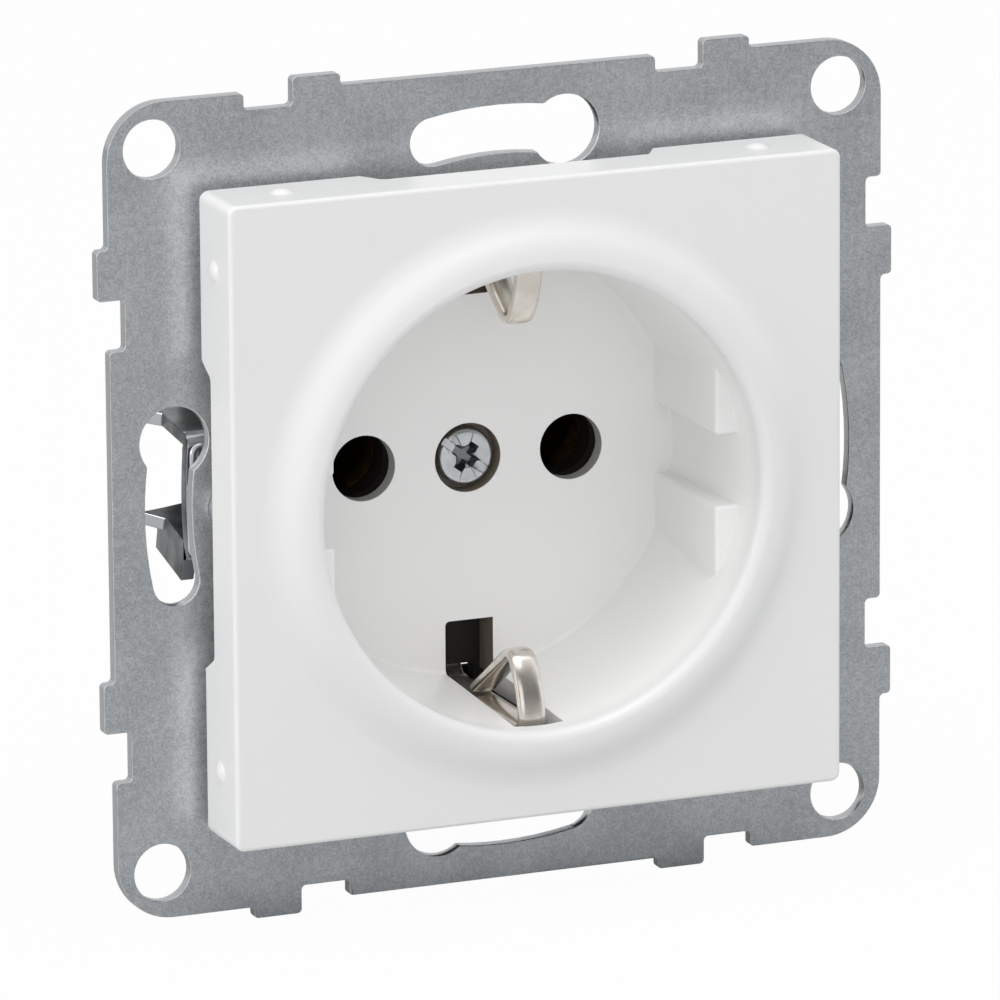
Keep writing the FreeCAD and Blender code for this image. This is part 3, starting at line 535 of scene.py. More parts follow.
@dataclass(frozen=True)
class PlatedMetal:
    """Plated or bare stamped metal with a fine drawn grain, lighter cut edges where given, and painted
    shade in a marked recess.
    """

    name: str
    light: Colour
    dark: Colour
    roughness: float
    grain: float = 0.12 * MM
    draw: Tuple[float, float, float] = (1.0, 1.0, 1.0)
    patch: float = 1.6 * MM
    depth: float = 0.002 * MM
    cut_edge: Optional[Colour] = None
    # The recess colour is painted shade on the faces marked as a screw's cross recess.
    recess: Optional[Colour] = None
    metallic: float = 1.0
    patch_band: Span = (0.3, 0.72)
    edge_facing: Span = (0.3, 0.75)
    grain_play: float = 0.16
    patch_play: float = 0.1
    strength: float = 0.6

    def material(self) -> bpy.types.Material:
        """Builds the material."""
        paint = Paint(bpy.data.materials.new(self.name))
        drawn = paint.noise(self.grain, detail=3.0, rough=0.6, vector=paint.place(self.draw))
        patches = paint.noise(self.patch, detail=3.0, rough=0.55)
        colour = paint.mix(patches.step(*self.patch_band), self.light, self.dark)
        if self.cut_edge is not None:
            facing = abs(paint.parts("Normal")[1])
            colour = paint.mix(facing.step(*self.edge_facing), colour, self.cut_edge)
        # Painted shade: darkens the marked faces of a cross recess.
        if self.recess is not None:
            recess_painted_shade = paint.value("ShaderNodeAttribute", {"attribute_name": RECESS}, {}, "Fac")
            colour = paint.mix(recess_painted_shade, colour, self.recess)
        return paint.surface({
            "Base Color": colour,
            "Metallic": self.metallic,
            "Roughness": self.roughness + (drawn - 0.5) * self.grain_play
            + (patches - 0.5) * self.patch_play,
            "Normal": paint.bump(drawn, self.depth, self.strength)})


Finish = Union[Moulding, GalvanisedSheet, PlatedMetal]


class Palette:
    """Every finish of the socket, each made into a material once."""

    FINISHES: Dict[Slot, Finish] = {
        Slot.WHITE_PLASTIC: CoverPlastic(
            "White cover plastic", grey(0.845, 0.003), grey(0.835, 0.003), roughness=0.36,
            erosion=0.35 * MM, erosion_depth=0.0006 * MM, wave=12.0 * MM, wave_depth=0.002 * MM),
        Slot.GALVANISED: GalvanisedSheet(
            "Galvanised sheet", (0.575, 0.60, 0.62), (0.36, 0.38, 0.395),
            edge=(0.42, 0.43, 0.44), rim_highlight=(0.97, 0.975, 0.98)),
        # Painted reflection: the claws' and clamps' zinc is coloured far darker than zinc, standing in for
        # the dark housing that it would mirror; the cut edges keep a lighter steel grey.
        Slot.ZINC: PlatedMetal(
            "Dull zinc on the claws", (0.19, 0.197, 0.204), (0.026, 0.027, 0.028), roughness=0.18,
            patch=3.0 * MM, cut_edge=(0.56, 0.57, 0.58)),
        Slot.NICKEL: PlatedMetal(
            "Nickel on the earth strip", (0.86, 0.81, 0.745), (0.72, 0.67, 0.60), roughness=0.20,
            grain=0.10 * MM, draw=(1.0, 0.12, 0.12), metallic=0.86),
        # The screws' recess colour is painted shade in their cross recesses.
        Slot.SCREW: PlatedMetal(
            "Bright zinc on the screws", (0.66, 0.685, 0.70), (0.55, 0.575, 0.59), roughness=0.30,
            recess=(0.24, 0.245, 0.25)),
        Slot.DARK_PLASTIC: Moulding(
            "Dark housing plastic", grey(0.022), grey(0.016), roughness=0.52,
            erosion=0.25 * MM, erosion_depth=0.012 * MM),
        Slot.INSULATOR: Moulding(
            "Insulator sheet", (0.022, 0.019, 0.017), (0.016, 0.014, 0.012), roughness=0.6,
            erosion=0.4 * MM, erosion_depth=0.01 * MM),
        Slot.BRASS: PlatedMetal(
            "Stamped brass", (0.42, 0.30, 0.14), (0.30, 0.20, 0.09), roughness=0.34),
    }

    def __init__(self) -> None:
        """Makes the materials."""
        self.made = {slot: finish.material() for slot, finish in self.FINISHES.items()}

    def put_on(self, obj: bpy.types.Object, slot: Slot) -> None:
        """Gives an object its one finish.

        Args:
            obj: a new piece or a CAD node.
            slot: the finish.
        """
        worn = obj.data.materials
        if not worn:
            worn.append(self.made[slot])
        for place in range(len(worn)):
            worn[place] = self.made[slot]


class Bench:
    """The modelling steps that the pieces share, each done with Blender's own operators."""

    STEPS = 2
    SAME_POINT = 0.0005 * MM
    FLAT_ANGLE = math.radians(0.4)

    @staticmethod
    def take(obj: bpy.types.Object) -> bpy.types.Object:
        """Makes one object the only selected and active one.

        Args:
            obj: the object.

        Returns:
            The same object.
        """
        if bpy.context.object and bpy.context.object.mode != "OBJECT":
            bpy.ops.object.mode_set(mode="OBJECT")
        bpy.ops.object.select_all(action="DESELECT")
        obj.select_set(True)
        bpy.context.view_layer.objects.active = obj
        return obj

    @staticmethod
    def clear() -> None:
        """Leaves nothing selected, before a primitive is added."""
        bpy.ops.object.select_all(action="DESELECT")

    @staticmethod
    def fresh() -> bpy.types.Object:
        """The primitive that was just added, with its place written into its mesh."""
        bpy.ops.object.transform_apply(location=True, rotation=True, scale=True)
        return bpy.context.object

    @classmethod
    def block(cls, size: Sequence[float], middle: Sequence[float]) -> bpy.types.Object:
        """Adds a block at its size and place.

        Args:
            size: its three lengths.
            middle: the place of its middle.

        Returns:
            The block.
        """
        cls.clear()
        bpy.ops.mesh.primitive_cube_add(size=1.0, location=middle)
        bpy.context.object.scale = size
        return cls.fresh()

    @staticmethod
    def ends(obj: bpy.types.Object, edge: bpy.types.MeshEdge) -> List[Vector]:
        """The two ends of an edge."""
        return [obj.data.vertices[place].co for place in edge.vertices]

    @classmethod
    def choose(cls, obj: bpy.types.Object, kind: str, wanted: Callable[[Any], bool]) -> None:
        """Opens an object in edit mode with only some of its faces or edges selected.

        Args:
            obj: the object.
            kind: "FACE" or "EDGE".
            wanted: says of a face's centre or an edge's two ends whether it is wanted.
        """
        cls.take(obj)
        bpy.ops.object.mode_set(mode="EDIT")
        bpy.ops.mesh.select_mode(type=kind)
        bpy.ops.mesh.select_all(action="DESELECT")
        bpy.ops.object.mode_set(mode="OBJECT")
        if kind == "FACE":
            for face in obj.data.polygons:
                face.select = wanted(face.center)
        else:
            for edge in obj.data.edges:
                edge.select = wanted(cls.ends(obj, edge))
        bpy.ops.object.mode_set(mode="EDIT")

    @staticmethod
    def done() -> None:
        """Goes back to object mode."""
        bpy.ops.object.mode_set(mode="OBJECT")

    @classmethod
    def copy_of(cls, node: bpy.types.Object, name: str) -> bpy.types.Object:
        """Copies a CAD node's mesh into an object of its own, with its triangles merged.

        Args:
            node: the CAD node, which stays as it is.
            name: the new piece's name.

        Returns:
            The new piece.
        """
        piece = bpy.data.objects.new(name, node.data.copy())
        bpy.context.scene.collection.objects.link(piece)
        cls.take(piece)
        bpy.ops.object.mode_set(mode="EDIT")
        bpy.ops.mesh.select_all(action="SELECT")
        bpy.ops.mesh.remove_doubles(threshold=cls.SAME_POINT)
        bpy.ops.mesh.customdata_custom_splitnormals_clear()
        bpy.ops.mesh.dissolve_limited(angle_limit=cls.FLAT_ANGLE)
        cls.done()
        return piece

    @classmethod
    def soften(cls, obj: bpy.types.Object, width: float, wanted: Callable[[List[Vector]], bool],
               angle: float = 32.0) -> None:
        """Rounds those sharp edges of an object that are wanted.

        Args:
            obj: the object.
            width: the width of the rounding in metres.
            wanted: says of an edge's two ends whether it is rounded.
            angle: edges sharper than this many degrees count as sharp.
        """
        cls.take(obj)
        bpy.ops.object.mode_set(mode="EDIT")
        bpy.ops.mesh.select_mode(type="EDGE")
        bpy.ops.mesh.select_all(action="DESELECT")
        bpy.ops.mesh.edges_select_sharp(sharpness=math.radians(angle))
        bpy.ops.object.mode_set(mode="OBJECT")
        chosen = {edge.index for edge in obj.data.edges if edge.select and wanted(cls.ends(obj, edge))}
        bpy.ops.object.mode_set(mode="EDIT")
        bpy.ops.mesh.select_all(action="DESELECT")
        bpy.ops.object.mode_set(mode="OBJECT")
        for edge in obj.data.edges:
            edge.select = edge.index in chosen
        bpy.ops.object.mode_set(mode="EDIT")
        bpy.ops.mesh.bevel(offset=width, segments=cls.STEPS, profile=0.5, clamp_overlap=False)
        cls.done()

    @classmethod
    def finish(cls, obj: bpy.types.Object, soften: float = 0.0, angle: float = 32.0) -> bpy.types.Object:
        """Rounds an object's sharp edges and smooths the rest.

        Args:
            obj: the object.
            soften: the width of the rounding in metres, or 0.
            angle: edges sharper than this many degrees count as sharp.

        Returns:
            The same object.
        """
        cls.take(obj)
        if soften > 0:
            bevel = obj.modifiers.new("Edges", "BEVEL")
            bevel.width = soften
            bevel.segments = cls.STEPS
            bevel.limit_method = "ANGLE"
            bevel.angle_limit = math.radians(angle)
            bevel.use_clamp_overlap = False
            bpy.ops.object.modifier_apply(modifier=bevel.name)
        bpy.ops.object.shade_smooth_by_angle(angle=math.radians(angle))
        flats = obj.modifiers.new("Flats", "WEIGHTED_NORMAL")
        flats.keep_sharp = True
        bpy.ops.object.modifier_apply(modifier=flats.name)
        return obj

    @classmethod
    def cut(cls, obj: bpy.types.Object, cutters: Sequence[bpy.types.Object]) -> None:
        """Cuts solids out of another, and uses them up.

        Args:
            obj: the solid that stays.
            cutters: the solids that are used up.
        """
        for cutter in cutters:
            cls.take(obj)
            boolean = obj.modifiers.new("Cut", "BOOLEAN")
            boolean.operation = "DIFFERENCE"
            boolean.object = cutter
            boolean.solver = "EXACT"
            bpy.ops.object.modifier_apply(modifier=boolean.name)
            bpy.data.objects.remove(cutter)

    @classmethod
    def settle(cls, obj: bpy.types.Object, place: Matrix) -> bpy.types.Object:
        """Puts an object at its place and writes that place into its mesh.

        Args:
            obj: the object, modelled about the origin.
            place: its place in the row frame.

        Returns:
            The same object.
        """
        cls.take(obj)
        obj.matrix_world = place
        return cls.fresh()

    @classmethod
    def join(cls, first: bpy.types.Object, others: Sequence[bpy.types.Object]) -> bpy.types.Object:
        """Joins objects into the first one.

        Args:
            first: the object that stays.
            others: the objects that join it.

        Returns:
            The first object.
        """
        cls.take(first)
        for other in others:
            other.select_set(True)
        bpy.ops.object.join()
        return first


class Part:
    """What every sub-assembly needs: the CAD nodes, the palette and how a piece is entered."""

    def __init__(self, nodes: Dict[str, bpy.types.Object], palette: Palette) -> None:
        """Keeps the shared things.

        Args:
            nodes: the CAD nodes by name.
            palette: the finishes.
        """
        self.nodes = nodes
        self.palette = palette

    def add(self, piece: bpy.types.Object, slot: Slot, body: str = "socket",
            stands_for: Sequence[str] = ()) -> None:
        """Enters a finished new piece.

        Args:
            piece: the piece.
            slot: its finish.
            body: the CAD body that it rides on.
            stands_for: the CAD nodes that it replaces.
        """
        self.palette.put_on(piece, slot)
        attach(piece, body)
        if stands_for:
            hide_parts(*stands_for)
        LOG.info("piece %s: %d faces, rides on %s", piece.name, len(piece.data.polygons), body)

    def refine(self, node: str, name: str, slot: Slot, soften: float = 0.0, body: str = "socket") -> None:
        """Replaces a CAD node by a merged copy with softened edges.

        Args:
            node: the CAD node's name.
            name: the piece's name.
            slot: its finish.
            soften: the width of its edge rounding.
            body: the body that it rides on.
        """
        piece = Bench.finish(Bench.copy_of(self.nodes[node], name), soften)
        self.add(piece, slot, body, [node])

    def paint_node(self, node: str, slot: Slot) -> None:
        """Gives a CAD node its finish and leaves its mesh alone."""
        self.palette.put_on(self.nodes[node], slot)
        LOG.info("node %s: %s", node, slot.value)


@dataclass
class Cover:
    """The white cover, as one moulding with soft edges, and the linings of its earth slots, whose walls
    carry painted shade.
    """

    part: Part
    sizes: CoverSizes = CoverSizes()
    edge: float = 0.07 * MM
    corner_r: float = 0.4 * MM
    corner_steps: int = 5
    seam_from: float = 5.0 * MM
    seam_r: float = 14.0 * MM
    lining_gap: float = 0.05 * MM
    lining_back: float = 9.5 * MM
    lining: float = 0.4 * MM
    lining_edge: float = 0.03 * MM

    def build(self) -> None:
        """Builds the cover and its two linings."""
        cover = Bench.copy_of(self.part.nodes["front_cover"], "cover_moulding")
        for turn in (-1, 1):
            self._round_corner(cover, turn)
        Bench.soften(cover, self.edge, self._is_soft)
        Bench.finish(cover)
        self.part.add(cover, Slot.WHITE_PLASTIC, "socket", ["front_cover"])
        for turn, name in ((1, "top"), (-1, "bottom")):
            self._lining("slot_lining_" + name, turn)

    def _is_soft(self, ends: List[Vector]) -> bool:
        """Says whether an edge is rounded: all are but the crowded ones at the foot of the cup's wall."""
        return not all(end.y > self.seam_from and math.hypot(end.x, end.z) > self.seam_r for end in ends)

    def _round_corner(self, cover: bpy.types.Object, turn: int) -> None:
        """Rounds one corner of an earth slot in the cup's floor.

        Args:
            cover: the cover's copy.
            turn: 1 for the top slot and -1 for the bottom one, which is turned half round.
        """
        corner = Vector((self.sizes.slot_half * turn, 0.0, self.sizes.slot_from * turn))
        near = 0.02 * MM
        low, high = self.sizes.floor - near, self.sizes.floor_back + near
        Bench.choose(cover, "EDGE", lambda ends: all(
            abs(end.x - corner.x) < near and abs(end.z - corner.z) < near and low < end.y < high
            for end in ends))
        bpy.ops.mesh.bevel(offset=self.corner_r, segments=self.corner_steps, profile=0.5)
        Bench.done()

    def _lining(self, name: str, turn: int) -> None:
        """Makes the lining of one slot: a thin box without its front, its back and its outer side.

        Args:
            name: the piece's name.
            turn: 1 for the top slot and -1 for the bottom one.
        """
        low, high = self.sizes.slot_from, self.sizes.slot_to
        front, back = self.sizes.floor_back + self.lining_gap, self.lining_back
        box = Bench.block((2 * self.sizes.slot_half, back - front, high - low),
                          (0, (front + back) / 2, turn * (low + high) / 2))
        box.name = name
        Bench.choose(box, "FACE", lambda centre: (
            centre.y < front + NEAR or centre.y > back - NEAR or turn * centre.z > high - NEAR))
        bpy.ops.mesh.delete(type="FACE")
        Bench.done()
        wall = box.modifiers.new("Wall", "SOLIDIFY")
        wall.thickness = self.lining
        wall.offset = 1.0
        bpy.ops.object.modifier_apply(modifier=wall.name)
        Bench.finish(box, self.lining_edge)
        # The lining takes the cover's plastic, whose slot mask paints shade on its walls.
        self.part.add(box, Slot.WHITE_PLASTIC)


@dataclass
class Sheet:
    """The stamped support frame with the rolled and burred edges of its die, and its rivets."""

    part: Part
    edge: float = 0.13 * MM
    rivet_edge: float = 0.12 * MM

    def build(self) -> None:
        """Builds the frame and the rivets."""
        self.part.refine("support_frame", "stamped_sheet", Slot.GALVANISED, self.edge)
        self.part.refine("housing_rivets", "rivets", Slot.SCREW, self.rivet_edge)


@dataclass
class Strip:
    """The bent earth strip, whose two arms have a crowned section, and the rivets that hold it.

    A bend is its radius, its turn in degrees and its steps.
    """

    part: Part
    width: float = 2.4 * MM
    thick: float = 1.0 * MM
    base: float = 20.4 * MM
    root: float = 9.4 * MM
    lap: float = 0.3 * MM
    bend_from: float = -6.45 * MM
    bends: Tuple[Tuple[float, float, int], ...] = (
        (0.9 * MM, 98.3, 14), (9.5 * MM, 28.3, 6), (1.39 * MM, 86.4, 16))
    tail: float = 8.4 * MM
    fullness: float = 2.8
    facets: int = 40
    smooth_angle: float = 40.0
    cut_front: float = -14 * MM
    cut_low: float = 11 * MM
    cut_high: float = 26 * MM
    cut_width: float = 8 * MM

    def build(self) -> None:
        """Builds the strip and paints its rivets."""
        strip = Bench.copy_of(self.part.nodes["earth_clip"], "earth_strip")
        Bench.cut(strip, [self._cutter(turn) for turn in (-1, 1)])
        Bench.finish(strip)
        top = self._arm()
        bottom = top.copy()
        bottom.data = top.data.copy()
        bpy.context.scene.collection.objects.link(bottom)
        Bench.settle(bottom, Matrix.Rotation(math.pi, 4, "Y"))
        Bench.join(strip, [top, bottom])
        self.part.add(strip, Slot.NICKEL, "socket", ["earth_clip"])
        self.part.paint_node("earth_rivets", Slot.SCREW)

    def _cutter(self, turn: int) -> bpy.types.Object:
        """A block round one arm of the plain strip, in front of the retainer.

        Args:
            turn: 1 for the top arm and -1 for the bottom one.

        Returns:
            The block.
        """
        return Bench.block(
            (self.cut_width, self.root - self.cut_front, self.cut_high - self.cut_low),
            (0, (self.cut_front + self.root) / 2, turn * (self.cut_low + self.cut_high) / 2))

    def _arm(self) -> bpy.types.Object:
        """Draws the section along the top arm's bends, from the retainer to the free end.

        Returns:
            The arm.
        """
        Bench.clear()
        bpy.ops.mesh.primitive_circle_add(vertices=self.facets, radius=1.0, fill_type="NGON",
                                          rotation=(math.pi / 2, 0, 0))
        arm = Bench.fresh()
        start = self.root + self.lap
        for vertex in arm.data.vertices:
            across, over = (math.copysign(abs(part) ** (2 / self.fullness), part)
                            for part in (vertex.co.x, vertex.co.z))
            vertex.co = (across * self.width / 2, start, self.base + over * self.thick / 2)
        Bench.choose(arm, "FACE", lambda centre: True)
        bpy.ops.mesh.extrude_region_move(TRANSFORM_OT_translate={"value": (0, self.bend_from - start, 0)})
        heading, depth, level = 0.0, self.bend_from, self.base
        for radius, turn, steps in self.bends:
            centre = (0.0, depth + radius * math.sin(heading), level - radius * math.cos(heading))
            bpy.ops.mesh.spin(steps=steps, angle=-math.radians(turn), center=centre, axis=(1, 0, 0))
            heading += math.radians(turn)
            depth = centre[1] - radius * math.sin(heading)
            level = centre[2] + radius * math.cos(heading)
        ahead = (0, -math.cos(heading) * self.tail, -math.sin(heading) * self.tail)
        bpy.ops.mesh.extrude_region_move(TRANSFORM_OT_translate={"value": ahead})
        bpy.ops.mesh.select_all(action="SELECT")
        bpy.ops.mesh.remove_doubles(threshold=Bench.SAME_POINT)
        bpy.ops.mesh.normals_make_consistent(inside=False)
        Bench.done()
        return Bench.finish(arm, angle=self.smooth_angle)


@dataclass(frozen=True)
class ScrewSize:
    """The sizes that one kind of screw has for itself."""

    head_r: float
    head_h: float
    shank_r: float = 1.45 * MM
    drive_w: float = 0.7 * MM
    drive_depth: float = 0.9 * MM
    pitch: float = 0.5 * MM


@dataclass
class MachineScrew:
    """A screw with a combined slot and cross recess, tick marks and a rolled thread.

    The fields whose names end in share are parts of the head's radius or height, of the drive's
    width or depth, or of the pitch.
    """

    part: Part
    node: str
    name: str
    body: str
    place: Matrix
    size: ScrewSize
    length: float
    head_edge: float = 0.05 * MM
    crown_share: float = 0.3
    crown_steps: int = 4
    bar_over: float = 0.5 * MM
    slot_length_share: float = 2.4
    slot_depth_share: float = 0.4
    cross_length_share: float = 1.2
    cross_width_share: float = 1.5
    cross_depth_share: float = 1.3
    cross_taper: float = 0.6
    point_depth_share: float = 1.45
    point_r_share: float = 0.42
    point_lift: float = 0.1 * MM
    recess_r_share: float = 0.64
    recess_lip: float = 0.2 * MM
    tick_length_share: float = 1.94
    tick_w: float = 0.07 * MM
    tick_depth: float = 0.06 * MM
    ticks: Tuple[float, ...] = (108.7, 152.0)
    thread_h: float = 0.24 * MM
    thread_sink: float = 0.02 * MM
    thread_half_share: float = 0.42
    thread_from_share: float = 1.2
    thread_free_share: float = 2.2
    thread_steps: int = 20
    tip_share: float = 0.35
    tip_steps: int = 2
    shank_lap_share: float = 0.2
    rings: int = 72
    shank_rings: int = 32
    point_rings: int = 24
    smooth_angle: float = 40.0

    def build(self) -> None:
        """Builds the screw about the origin, head up, and puts it in its place."""
        head = Bench.finish(self._head(), self.head_edge, self.smooth_angle)
        shank = self._shank()
        thread = self._thread()
        screw = Bench.join(head, [shank, thread])
        screw.name = self.name
        Bench.settle(screw, self.place)
        self.part.add(screw, Slot.SCREW, self.body, [self.node])

    @property
    def core_r(self) -> float:
        """The radius of the shank between its threads."""
        return self.size.shank_r - self.thread_h

    def _head(self) -> bpy.types.Object:
        """Turns the head and presses the recess into it.

        Returns:
            The head.
        """
        size = self.size
        Bench.clear()
        bpy.ops.mesh.primitive_cylinder_add(vertices=self.rings, radius=size.head_r, depth=size.head_h,
                                            location=(0, 0, size.head_h / 2))
        head = Bench.fresh()
        top = size.head_h - NEAR
        Bench.choose(head, "EDGE", lambda ends: all(end.z > top for end in ends))
        bpy.ops.mesh.bevel(offset=size.head_h * self.crown_share, segments=self.crown_steps, profile=0.5)
        Bench.done()
        cutters = [self._bar(size.head_r * self.slot_length_share, size.drive_w,
                             size.drive_depth * self.slot_depth_share, 0.0)]
        for turn in (0.0, 90.0):
            cutters.append(self._bar(
                size.head_r * self.cross_length_share, size.drive_w * self.cross_width_share,
                size.drive_depth * self.cross_depth_share, turn, self.cross_taper))
        cutters.append(self._point())
        for turn in self.ticks:
            cutters.append(self._bar(
                size.head_r * self.tick_length_share, self.tick_w, self.tick_depth, turn))
        Bench.cut(head, cutters)
        self._mark_painted_recess_shade(head)
        return head

    def _point(self) -> bpy.types.Object:
        """The cone in the middle of the cross recess.

        Returns:
            The cutter.
        """
        Bench.clear()
        depth = self.size.drive_depth * self.point_depth_share
        bpy.ops.mesh.primitive_cone_add(
            vertices=self.point_rings, radius1=0.0, radius2=self.size.head_r * self.point_r_share,
            depth=depth, location=(0, 0, self.size.head_h - depth / 2 + self.point_lift))
        return Bench.fresh()

    def _mark_painted_recess_shade(self, head: bpy.types.Object) -> None:
        """Marks the faces of the cross recess, so that the finish can paint shade on them.

        Args:
            head: the head with its recess.
        """
        marks = head.data.attributes.new(RECESS, "FLOAT", "FACE")
        low, high = NEAR, self.size.head_h - self.recess_lip
        reach = self.size.head_r * self.recess_r_share
        for face, mark in zip(head.data.polygons, marks.data):
            inside = math.hypot(face.center.x, face.center.y) < reach and low < face.center.z < high
            mark.value = 1.0 if inside else 0.0

    def _bar(self, length: float, width: float, depth: float, turn: float,
             taper: float = 1.0) -> bpy.types.Object:
        """A bar that cuts a groove into the top of the head.

        Args:
            length: the groove's length.
            width: its width.
            depth: its depth.
            turn: its direction in degrees.
            taper: the width of its bottom as a share of its top.

        Returns:
            The cutter.
        """
        height = depth + self.bar_over
        bottom = self.size.head_h - depth
        bar = Bench.block((length, width, height), (0, 0, bottom + height / 2))
        Bench.choose(bar, "FACE", lambda centre: centre.z < bottom + NEAR)
        bpy.ops.transform.resize(value=(taper, taper, 1.0))
        Bench.done()
        bar.rotation_euler = (0, 0, math.radians(turn))
        return Bench.fresh()

    def _shank(self) -> bpy.types.Object:
        """Turns the core of the shank with its chamfered tip.

        Returns:
            The core.
        """
        Bench.clear()
        lap = self.size.head_h * self.shank_lap_share
        depth = self.length + lap
        bpy.ops.mesh.primitive_cylinder_add(vertices=self.shank_rings, radius=self.core_r, depth=depth,
                                            location=(0, 0, lap - depth / 2))
        shank = Bench.fresh()
        low = NEAR - self.length
        Bench.choose(shank, "EDGE", lambda ends: all(end.z < low for end in ends))
        bpy.ops.mesh.bevel(offset=self.core_r * self.tip_share, segments=self.tip_steps, profile=0.5)
        Bench.done()
        return Bench.finish(shank, angle=self.smooth_angle)

    def _thread(self) -> bpy.types.Object:
        """Winds the thread's ridge along the shank.

        Returns:
            The ridge.
        """
        Bench.clear()
        pitch = self.size.pitch
        bpy.ops.mesh.primitive_circle_add(vertices=3, radius=1.0, fill_type="NOTHING",
                                          rotation=(math.pi / 2, 0, 0))
        ridge = Bench.fresh()
        root, half = self.core_r - self.thread_sink, pitch * self.thread_half_share
        for vertex, (x, z) in zip(ridge.data.vertices, (
                (self.size.shank_r, 0.0), (root, half), (root, -half))):
            vertex.co = (x, 0.0, z - self.length + pitch * self.thread_from_share)
        Bench.take(ridge)
        wind = ridge.modifiers.new("Wind", "SCREW")
        wind.axis = "Z"
        wind.angle = math.tau
        wind.screw_offset = pitch
        wind.iterations = int((self.length - pitch * self.thread_free_share) / pitch)
        wind.steps = self.thread_steps
        wind.render_steps = self.thread_steps
        wind.use_normal_calculate = True
        bpy.ops.object.modifier_apply(modifier=wind.name)
        bpy.ops.object.mode_set(mode="EDIT")
        bpy.ops.mesh.select_all(action="SELECT")
        bpy.ops.mesh.fill_holes(sides=3)
        bpy.ops.mesh.select_all(action="SELECT")
        bpy.ops.mesh.normals_make_consistent(inside=False)
        Bench.done()
        return Bench.finish(ridge, angle=self.smooth_angle)


@dataclass
class Screws:
    """Every screw of the socket, placed from the boxes of the CAD nodes."""

    part: Part
    cover_size: ScrewSize = ScrewSize(2.5 * MM, 1.5 * MM)
    claw_size: ScrewSize = ScrewSize(2.2 * MM, 1.6 * MM)
    terminal_size: ScrewSize = ScrewSize(3.0 * MM, 2.2 * MM, 1.7 * MM, 0.9 * MM, 1.1 * MM, 0.7 * MM)
    slot_turn: float = -36.7

    def build(self) -> None:
        """Builds the cover screw, the claw screws and the terminal screws."""
        self._facing_screw("cover_screw", "socket", self.cover_size, self.slot_turn)
        for side in Side:
            node = "claw_screw_" + side.word
            self._facing_screw(node, node, self.claw_size, 0.0)
        for word, flip in (("left", 0.0), ("right", 0.0), ("earth", 180.0)):
            self._terminal_screw("terminal_screw_" + word, flip)

    def _facing_screw(self, node: str, body: str, size: ScrewSize, turn: float) -> None:
        """Builds one screw whose head faces the front.

        Args:
            node: the CAD node that it replaces.
            body: the body that it rides on.
            size: its sizes.
            turn: the turn of its slot in degrees.
        """
        low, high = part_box(node)
        seat = low.y + size.head_h
        place = Matrix.Translation(((low.x + high.x) / 2, seat, 0)) @ Matrix.Rotation(math.pi / 2, 4, "X")
        place = place @ Matrix.Rotation(math.radians(turn), 4, "Z")
        MachineScrew(self.part, node, node + "_turned", body, place, size, high.y - seat).build()

    def _terminal_screw(self, node: str, flip: float) -> None:
        """Builds one terminal screw, head outwards.

        Args:
            node: the CAD node that it replaces.
            flip: 0 for a head at the top and 180 for one at the bottom.
        """
        low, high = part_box(node)
        size = self.terminal_size
        seat = low.z + size.head_h if flip else high.z - size.head_h
        place = Matrix.Translation(((low.x + high.x) / 2, (low.y + high.y) / 2, seat))
        place = place @ Matrix.Rotation(math.radians(flip), 4, "Y")
        length = high.z - low.z - size.head_h
        MachineScrew(self.part, node, node + "_turned", "socket", place, size, length).build()


@dataclass
class Claws:
    """The two folded claws with their wire springs."""

    part: Part
    edge: float = 0.13 * MM

    def build(self) -> None:
        """Builds both claws and their springs."""
        for side in Side:
            body = "claw_" + side.word
            self.part.refine(body, body + "_folded", Slot.ZINC, self.edge, body)
            self.part.refine("claw_spring_" + side.word, body + "_wire", Slot.SCREW, 0.0, body)


@dataclass
class Works:
    """The dark housing and everything in it that a wire or a pin meets."""

    part: Part
    edge: float = 0.1 * MM
    clamp_edge: float = 0.08 * MM
    plain: Dict[str, Slot] = field(default_factory=lambda: {
        "cover_screw_bush": Slot.BRASS, "contact_retainer": Slot.INSULATOR})

    def build(self) -> None:
        """Builds the housing, the contacts and the clamps."""
        self.part.refine("rear_housing", "housing_moulding", Slot.DARK_PLASTIC, self.edge)
        for node, slot in self.plain.items():
            self.part.paint_node(node, slot)
        for word in ("left", "right"):
            self.part.refine("contact_" + word, "contact_sleeve_" + word, Slot.BRASS)
        for word in ("left", "right", "earth"):
            self.part.refine("clamp_plate_" + word, "clamp_" + word, Slot.ZINC, self.clamp_edge)


